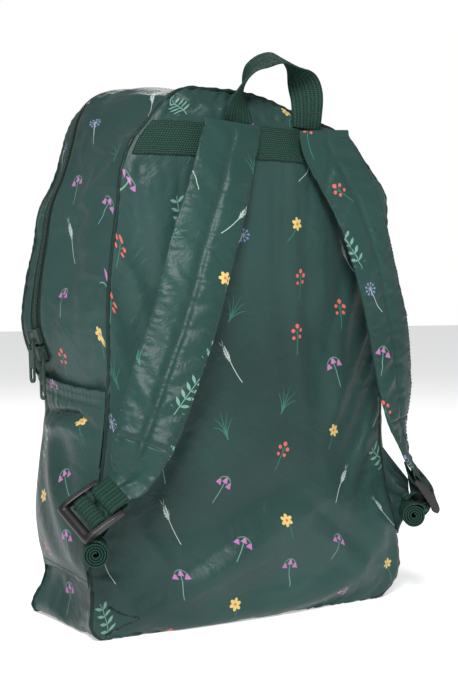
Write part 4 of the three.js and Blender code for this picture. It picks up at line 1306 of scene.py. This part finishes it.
def lower_webbing(side):
    wide = lock_frame(side)[1]
    middle = BAR_PLACES[1]
    sign = SIGN[side]
    z = TAB_FOOT + TAB_HEIGHT / 2
    root = np.array([float(side_x(sign, z, BACK_SEAM)), BACK_SEAM, z])
    tip = lock_spot(side, LOCK_PLACES[side]["tip"])
    seat = unit(tip - root) * 1.7 * WEB
    roll = roll_stations(side)
    below = lock_point(side, middle + 4.5, 0, -7)
    joint = below * 0.4 + roll[0][0] * 0.6 + np.array([0, 0, -2 * WEB])
    twist = wide * 0.7 + roll[0][1] * 0.3
    stations = [
        web_station(tip + seat, tab_down(side) * np.sign(-wide[2])),
        web_station(lock_point(side, middle - 6.2, 0, -7.5), wide),
        web_station(lock_point(side, middle - 5.6, 0, -3.8), wide),
        *[web_station(p, wide) for p in around_bar(side, middle, 200, -20, 8)],
        web_station(lock_point(side, middle + 5.4, 0, -3.8), wide),
        web_station(below, wide),
        web_station(joint, twist),
        *roll,
    ]
    web_ribbon(f"lower_web_{side}", stations, RIB_WEB, f"lower_webbing_{side}", step=0.5, rib=0.08)


# Buckles
def ladder_lock(side):
    x, y, z, origin = lock_frame(side)
    end = LOCK_LENGTH / 2
    shape = bmesh.new()

    def solid(rings):
        made = [[shape.verts.new(point) for point in ring] for ring in rings]
        for one, two in zip(made, made[1:]):
            for i in range(len(one)):
                k = (i + 1) % len(one)
                shape.faces.new((one[i], one[k], two[k], two[i]))
        shape.faces.new(made[0][::-1])
        shape.faces.new(made[-1])

    def curved(start, middle, stop):
        t = np.linspace(0, 1, 9)[1:, None]
        start, middle, stop = (np.array(p, float) for p in (start, middle, stop))
        return list((1 - t) ** 2 * start + 2 * t * (1 - t) * middle + t**2 * stop)

    bar = LOCK_BAR
    profile = [np.array([-end, -bar / 2]), np.array([-end, bar / 2])]
    profile += curved(profile[-1], (-end * 0.3, bar * 1.5), (end * 0.55, bar * 1.35))
    profile += curved(profile[-1], (end, bar * 1.1), (end, -bar * 0.2))
    profile += curved(profile[-1], (end * 0.9, -bar * 0.7), (end * 0.4, -bar * 0.55))
    shift = (LOCK_WIDTH - LOCK_RAIL) / 2
    for centre in (-shift, shift):
        edges = (centre - LOCK_RAIL / 2, centre + LOCK_RAIL / 2)
        solid([[(a, across, b) for a, b in profile] for across in edges])
    turn = np.linspace(0, 2 * math.pi, 24, endpoint=False)
    bar_shapes = ((BAR_PLACES[0], 1.6, 1.6), (BAR_PLACES[1], 1.6, 1.6), (BAR_PLACES[2] - 1.4, 3.9, 3.0))
    for place, long, deep in bar_shapes:
        oval = [(place + long * math.cos(a), deep * math.sin(a)) for a in turn]
        solid([[(a, across, b) for a, b in oval] for across in (-shift, shift)])
    bmesh.ops.recalc_face_normals(shape, faces=shape.faces)
    name = f"buckle_{side}"
    mesh = bpy.data.meshes.new(name)
    for vert in shape.verts:
        a, b, c = vert.co
        vert.co = Vector((origin + x * a + y * b + z * c) * MM)
    shape.to_mesh(mesh)
    shape.free()
    piece = piece_of(name, mesh, PLASTIC, "buckle", f"ladder_lock_{side}")
    merge = piece.modifiers.new("merge", "REMESH")
    merge.mode = "VOXEL"
    merge.voxel_size = 0.00042
    merge.use_smooth_shade = True
    soften = piece.modifiers.new("soften", "SMOOTH")
    soften.factor = 0.6
    soften.iterations = 5


def lower_tab(side, thread):
    sign = SIGN[side]
    tip = lock_spot(side, LOCK_PLACES[side]["tip"])
    down = tab_down(side)
    share, across = np.meshgrid(np.linspace(0, 1, 26), np.linspace(-0.5, 0.5, 30), indexing="ij")
    z = TAB_FOOT + (0.5 - across) * TAB_HEIGHT
    seam_x = side_x(sign, z, BACK_SEAM) + sign * (TAB_THICK / 2 + 1.2)
    start = np.stack([seam_x, np.full_like(z, BACK_SEAM - TAB_THICK / 2), z], -1)
    end = tip + down * (across * WEB_WIDTH)[..., None]
    middle = start + (end - start) * share[..., None]
    spread = np.array([0, 0, -TAB_HEIGHT]) * (1 - share[..., None]) + down * (WEB_WIDTH * share[..., None])
    normal = unit(np.cross(end - start, spread))
    pull = waves(91 if side == "left" else 93, 8, 0.16, 0.5)(across) * np.sin(math.pi * share) ** 0.8
    middle = middle + normal * (1.6 * pull)[..., None]
    outer = middle - normal * 0.8
    inner = middle + normal * 0.8
    ring = np.concatenate([outer, inner[:, ::-1]], 1)
    uvs = np.stack(np.broadcast_arrays(np.concatenate([across, across[:, ::-1]], 1) * 40 + 500,
                                       np.concatenate([share, share[:, ::-1]], 1) * 40 + 300), -1)
    closed_piece(f"tab_{side}", ring, uvs, PLAIN_CLOTH, "cloth", f"lower_tab_{side}")
    for column in (2, 27):
        line = outer[2:, column]
        thread.line(line - normal[2:, column] * 0.1, -normal[2:, column], stitch=2.0, gap=0.8)


# Yoke, haul handle
def yoke(thread):
    across, out = web_loop(WEB_WIDTH, WEB)
    share = np.linspace(0.015, 0.985, 240)[:, None]
    z = YOKE_FOOT + WEB_WIDTH / 2 + np.broadcast_to(across, (240, len(across)))
    left = rim_x(-1, z, BACK_SEAM)
    right = rim_x(1, z, BACK_SEAM)
    x = left + (right - left) * share
    edge = (np.abs(across) / across.max())[None, :] ** 2
    ripple = 0.3 * waves(21, 10, 8, 30)(share * 220) * edge
    y = back_surface(x, z) - SEAT_GAP - WEB / 2 - out[None, :] + ripple
    grid = np.stack([x, y, z + 0.25 * waves(23, 8, 15, 50)(share * 220)], -1)
    uvs = np.stack(np.broadcast_arrays(x, z), -1)
    closed_piece("yoke_band", grid, uvs, GRID_WEB, "webbing", "yoke_webbing")
    for column in (10, 1):
        thread.line(grid[:, column] + [0, -0.12, 0], (0, -1, 0), stitch=2.4, gap=0.8)


HANDLE_ROWS = rows_of("up across out turn", [
    (0.00, -1.02, 0, 0),
    (0.22, -1.02, 1, -22),
    (0.52, -0.90, 2, -58),
    (0.82, -0.55, 2, -74),
    (1.00, 0.12, 1, -90),
    (0.86, 0.72, 0, -118),
    (0.55, 1.04, 0, -146),
    (0.25, 1.08, 0, -168),
    (0.00, 1.05, 0, -180),
])


def haul_handle(thread):
    foot = YOKE_FOOT + WEB_WIDTH + 2 * SEAT_GAP
    stations = []
    for row in HANDLE_ROWS:
        x = row["across"] * HANDLE_HALF_SPAN
        seat = min(float(back_surface(x + share * WEB_WIDTH, foot)) for share in (-0.5, 0, 0.5))
        turn = math.radians(row["turn"])
        stations.append(web_station(
            (x, seat - SEAT_GAP - WEB / 2 - row["out"], foot + row["up"] * HANDLE_RISE),
            (math.cos(turn), -math.sin(turn), 0.5 if row["up"] > 0.7 else 0),
        ))
    path = web_ribbon(
        "handle_loop", stations, RIB_WEB, "haul_handle", step=0.5, rib=0.05, pitch=1.25, wave=0.15
    )
    side = WEB_WIDTH / 2 - 2.5
    for rows, face in ((slice(4, 26), 1), (slice(path.count - 26, path.count - 4), -1)):
        lift = path.out[rows] * (WEB / 2 + 0.1) * face
        for across in (-side, side):
            thread.line(path.centre[rows] + path.wide[rows] * across + lift, path.out[rows] * face, 2.0, 0.7)
        for end in (0, -1):
            steps = np.linspace(-side, side, 20)[:, None]
            row = path.centre[rows][end] + lift[end] + path.wide[rows][end] * steps
            thread.line(row, path.out[rows][end] * face, 2.0, 0.7)


# Side pockets
POCKET_ROWS = [(0, 0.0), (0.12, 0.5), (0.3, 0.9), (0.5, 1.0), (0.7, 0.92), (0.86, 0.78), (1.0, 0.72)]
POCKET_UP = 60
POCKET_ACROSS = 84


def settled_side(body, points, sign, y, z):
    """How far out the settled gusset reaches at depths and heights."""
    stations = np.arange(LEVEL_COUNT) if sign < 0 else LOOP_COUNT - 1 - np.arange(LEVEL_COUNT)
    grid = points[body.gusset[:, stations]]
    reach = np.stack([np.interp(z, row[:, 2], row[:, 0] * sign) for row in grid])
    return np.stack([np.interp(y, DEPTHS, reach[:, i]) for i in range(len(z))])


def side_pocket(side, body, points, thread):
    sign = SIGN[side]
    up = np.linspace(0, 1, POCKET_UP + 1)
    share = np.linspace(0, 1, POCKET_ACROSS + 1)
    z = POCKET_FOOT + up * POCKET_HEIGHT
    y = -EDGE + 1.2 + (2 * EDGE - 2.4) * share
    seed = 120 if side == "left" else 140
    rows, ys = np.array(POCKET_ROWS).T
    below = (1 - up)[:, None] * POCKET_HEIGHT
    s = share[None, :]
    arch = np.sin(math.pi * s) ** 0.6
    hem = curve_value(rows, ys, up)[:, None] * POCKET_BULGE
    bulge = (hem + (POCKET_HEM_BULGE - hem) * smooth(0.8, 1, up)[:, None]) * arch
    width = s * 2 * EDGE
    gather = waves(seed, 16, 4.2, 9)(width + 1.5 * np.sin(below / 7)) * 0.5 * np.exp(-below / 11)
    gather = gather + waves(seed + 1, 12, 8, 22)(width + 3 * np.sin(below / 9 + s * 5)) * 1.2 * (
        np.exp(-(((below - 19) / 12) ** 2)) * smooth(4, 12, below))
    channel = -0.9 * np.exp(-(((below - 10) / 1.2) ** 2))
    droop = below - 30 + 5 * np.sin(math.pi * s) + 3 * waves(seed + 2, 4, 40, 90)(width)
    slack = -7.0 * np.exp(-((droop / 3.6) ** 2)) + 4.5 * np.exp(-(((droop - 9) / 5.5) ** 2))
    soft = 2.2 * waves(seed + 3, 5, 30, 70)(width * 0.8 + below * 0.5) * smooth(20, 60, below)
    soft = soft + 1.4 * waves(seed + 4, 5, 26, 60)(below + width * 0.3) * smooth(25, 60, below)
    at_edges = np.sin(math.pi * s) ** 0.5 * smooth(0, 0.08, up)[:, None]
    detail = (gather + channel + (slack + soft) * np.sin(math.pi * s) ** 0.7) * at_edges
    near_pull = smooth(12, 22, y)[None, :] * smooth(140, 158, z)[:, None] if side == "left" else 0
    detail = detail - np.maximum(detail, 0) * near_pull
    base = sign * side_x(sign, z[:, None], y[None, :])
    reach = base + 2.2 + bulge + detail
    under = settled_side(body, points, sign, y, z) + 1.6
    reach = np.where(reach > under, reach, under + 0.15 * np.tanh(reach - under))
    hem_droop = 2.0 * np.sin(math.pi * s) * smooth(0.8, 1, up)[:, None]
    hem_droop = hem_droop + 0.3 * waves(seed + 6, 8, 8, 20)(width)
    hem_droop = hem_droop + 9 * (1 - s) * smooth(0.5, 1, up)[:, None]
    height = z[:, None] - hem_droop * smooth(0, 0.3, up)[:, None]
    grid = np.stack([sign * reach, np.broadcast_to(y, reach.shape), height], -1)
    if sign < 0:
        grid = grid[:, ::-1]
    columns = POCKET_ACROSS + 1
    uvs = grid_uv(grid) + [700 + 200 * (sign > 0), 33]
    mesh = mesh_of(
        f"pocket_{side}", grid.reshape(-1, 3), grid_faces(POCKET_UP + 1, columns), uvs.reshape(-1, 2)
    )
    piece = piece_of(f"pocket_{side}", mesh, PRINTED, "cloth", f"side_pocket_{side}")
    finer = piece.modifiers.new("finer", "SUBSURF")
    finer.levels = finer.render_levels = 1
    wall = piece.modifiers.new("wall", "SOLIDIFY")
    wall.thickness = 0.7 * MM
    wall.offset = -1
    for row in (-6, -3, 2):
        thread.line(grid[row] + [sign * 0.12, 0, 0], (sign, 0, 0), stitch=2.2, gap=0.8)


# Seams' raised edges, zip tape and coil
def resampled(points, step):
    length = length_along(points)
    at = np.linspace(0, length[-1], int(length[-1] / step) + 1)
    return interpolated(at, length, points), at


def seam_ridge(name, loop, normals, radius, seed):
    line, at = resampled(loop, 1.3)
    out = unit(np.stack([np.interp(at, length_along(loop), normals[:, k]) for k in range(3)], -1))
    run = unit(np.gradient(line, axis=0))
    side = np.cross(run, out)
    swell = 1 + 0.22 * waves(seed, 12, 5, 18)(at) + 0.15 * waves(seed + 1, 5, 30, 80)(at)
    turn = np.linspace(0, 2 * math.pi, 12, endpoint=False)
    ring = side[:, None] * np.cos(turn)[None, :, None] * 0.8 + out[:, None] * np.sin(turn)[None, :, None]
    grid = line[:, None] + out[:, None] * 0.25 + ring * (radius * swell)[:, None, None]
    grid[..., 2] = np.maximum(grid[..., 2], 0)
    uvs = np.stack(np.broadcast_arrays(at[:, None], turn[None, :] * radius), -1)
    # The ridge takes the darker seam cloth, which is painted shade along the seam.
    return closed_piece(name, grid, uvs, SEAM_SHADE_CLOTH, "cloth")


# Seam lines of the boxed lower corner at the left
CORNER_SEAMS = {
    "upper": [(-131, 23), (-127, 20.5), (-121, 17), (-110, 14)],
    "lower": [(-133, 3), (-128, 5), (-121, 8.5), (-110, 13)],
}


def corner_seams(body, points):
    grid = points[body.back].reshape(-1, 3)
    for name, rows in CORNER_SEAMS.items():
        x, z = curve_through([(x, 0, z) for x, z in rows], 40)[:, [0, 2]].T
        away = (grid[None, :, 0] - x[:, None]) ** 2 + (grid[None, :, 2] - z[:, None]) ** 2
        near = np.argsort(away, 1)[:, :6]
        weight = 1 / (np.take_along_axis(away, near, 1) + 4)
        y = (grid[near, 1] * weight).sum(1) / weight.sum(1)
        line = np.stack([x, y, z], -1)
        seam_ridge(f"corner_seam_{name}", line, np.tile([0.0, -1.0, 0.0], (40, 1)), 1.1, 231)


ZIP_PITCH = 1.7


def zip_pieces(body, points, normals):
    rows = body.gusset[GUSSET_STEPS - 1:GUSSET_STEPS + SLOT_STEPS + 2, ZIP_FIRST:ZIP_LAST + 1]
    grid = points[rows] - normals[rows] * 0.95
    grid[0] = points[rows[1]] - normals[rows[1]] * 0.95 + (grid[0] - grid[1]) * 0.25
    grid[-1] = points[rows[-2]] - normals[rows[-2]] * 0.95 + (grid[-1] - grid[-2]) * 0.25
    uvs = grid_uv(grid)
    tape = mesh_of("tape", grid.reshape(-1, 3), grid_faces(*grid.shape[:2]), uvs.reshape(-1, 2))
    piece = piece_of("tape", tape, TAPE, "zip_tape", "zip_tape")
    finer = piece.modifiers.new("finer", "SUBSURF")
    finer.levels = finer.render_levels = 1
    wall = piece.modifiers.new("wall", "SOLIDIFY")
    wall.thickness = 0.5 * MM
    wall.offset = 0
    middle = rows[1 + SLOT_STEPS // 2]
    line, at = resampled(points[middle], ZIP_PITCH / 2)
    line = line[2:-2]
    length = length_along(points[middle])
    out = unit(np.stack([np.interp(at[2:-2], length, normals[middle][:, k]) for k in range(3)], -1))
    side = np.cross(unit(np.gradient(line, axis=0)), out)
    hand = np.where(np.arange(len(line)) % 2 == 0, 1.0, -1.0)[:, None]
    starts = line + side * hand * 2.45 + out * 0.2
    ends = line - side * hand * 0.5 + out * 0.45
    body_points, faces = bars(starts, ends, out, 0.62, 0.45)
    piece_of("coil", mesh_of("coil", body_points, faces), COIL, "zip_coil", "zip_coil")


def metal_nodes():
    for index in (1, 2):
        for name in (f"zip_slider_{index}", f"zip_pull_{index}"):
            node = bpy.data.objects[name]
            node.data.materials.clear()
            node.data.materials.append(ENAMEL)
            bevel = node.modifiers.new("soft_edges", "BEVEL")
            bevel.width = 0.35 * MM
            bevel.segments = 3
            bevel.limit_method = "ANGLE"


# Camera and light
CAMERA_PLACE = Vector((-0.5225, -0.8526, 0.240))
CAMERA_AIM = Vector((0.0, 0.0, 0.2045))
FOCAL_SHARE = 1270 / 688


def camera():
    data = bpy.data.cameras.new("camera")
    data.sensor_fit = "VERTICAL"
    data.sensor_height = 36
    data.lens = 36 * FOCAL_SHARE
    data.clip_start = 0.01
    piece = bpy.data.objects.new("camera", data)
    bpy.context.scene.collection.objects.link(piece)
    piece.location = CAMERA_PLACE
    piece.rotation_euler = (CAMERA_AIM - CAMERA_PLACE).to_track_quat("-Z", "Y").to_euler()
    bpy.context.scene.camera = piece


def area_light(name, place, power, size):
    data = bpy.data.lights.new(name, "AREA")
    data.energy = power
    data.shape = "DISK"
    data.size = size
    piece = bpy.data.objects.new(name, data)
    bpy.context.scene.collection.objects.link(piece)
    piece.location = place
    piece.rotation_euler = (Vector((0, 0, 0.2)) - Vector(place)).to_track_quat("-Z", "Y").to_euler()


def studio():
    floor_mesh = bpy.data.meshes.new("floor")
    shape = bmesh.new()
    bmesh.ops.create_grid(shape, x_segments=2, y_segments=2, size=8.0)
    shape.to_mesh(floor_mesh)
    shape.free()
    floor = link("floor", floor_mesh)
    floor.location.z = -0.0008
    shader = Shader("floor_paint")
    shader.set(Base_Color=(0.9, 0.9, 0.9, 1), Roughness=0.8)
    shader.set(Emission_Color=(1, 1, 1, 1), Emission_Strength=0.45)
    floor.data.materials.append(shader.material)
    area_light("key", (-1.0, -1.5, 1.6), 62, 0.75)
    area_light("fill", (1.5, -1.5, 0.6), 1.5, 0.9)
    area_light("back", (0.7, 1.5, 1.6), 9, 0.9)
    world = bpy.data.worlds.new("studio")
    bpy.context.scene.world = world
    world.use_nodes = True
    world.node_tree.nodes["Background"].inputs["Color"].default_value = (0.97, 0.98, 1, 1)
    ground = world.node_tree.nodes["Background"]
    ground.inputs["Strength"].default_value = 0.3
    plain = world.node_tree.nodes.new("ShaderNodeBackground")
    plain.inputs["Color"].default_value = (1, 1, 1, 1)
    plain.inputs["Strength"].default_value = 1.0
    choice = world.node_tree.nodes.new("ShaderNodeMixShader")
    seen = world.node_tree.nodes.new("ShaderNodeLightPath").outputs["Is Camera Ray"]
    world.node_tree.links.new(seen, choice.inputs[0])
    world.node_tree.links.new(ground.outputs[0], choice.inputs[1])
    world.node_tree.links.new(plain.outputs[0], choice.inputs[2])
    world.node_tree.links.new(choice.outputs[0], world.node_tree.nodes["World Output"].inputs[0])
    bpy.context.scene.view_settings.view_transform = "Standard"


camera()
studio()
body = Body()
settled = pucker_seams(body, settle_cloth(body))
settled[:, 2] = np.maximum(settled[:, 2], 0)
normals = point_normals(settled, body.faces())
body_pieces(body, settled)
seam_ridge("back_seam", settled[body.gusset[0]], normals[body.gusset[0]], 1.5, 201)
seam_ridge("front_seam", settled[body.gusset[-1]], normals[body.gusset[-1]], 1.3, 211)
corner_seams(body, settled)
zip_pieces(body, settled, normals)
metal_nodes()
cloth_thread = Thread()
strap_thread = Thread()
web_thread = Thread()
yoke(web_thread)
haul_handle(web_thread)
for hand in ("left", "right"):
    side_pocket(hand, body, settled, cloth_thread)
    shoulder_strap(hand, strap_thread)
    strap_webbing(hand)
    lower_webbing(hand)
    ladder_lock(hand)
    lower_tab(hand, cloth_thread)
cloth_thread.piece("cloth_stitches", "cloth", radius=0.24)
strap_thread.piece("strap_stitches", "strap_cloth", radius=0.24)
web_thread.piece("webbing_stitches", "webbing", radius=0.28)
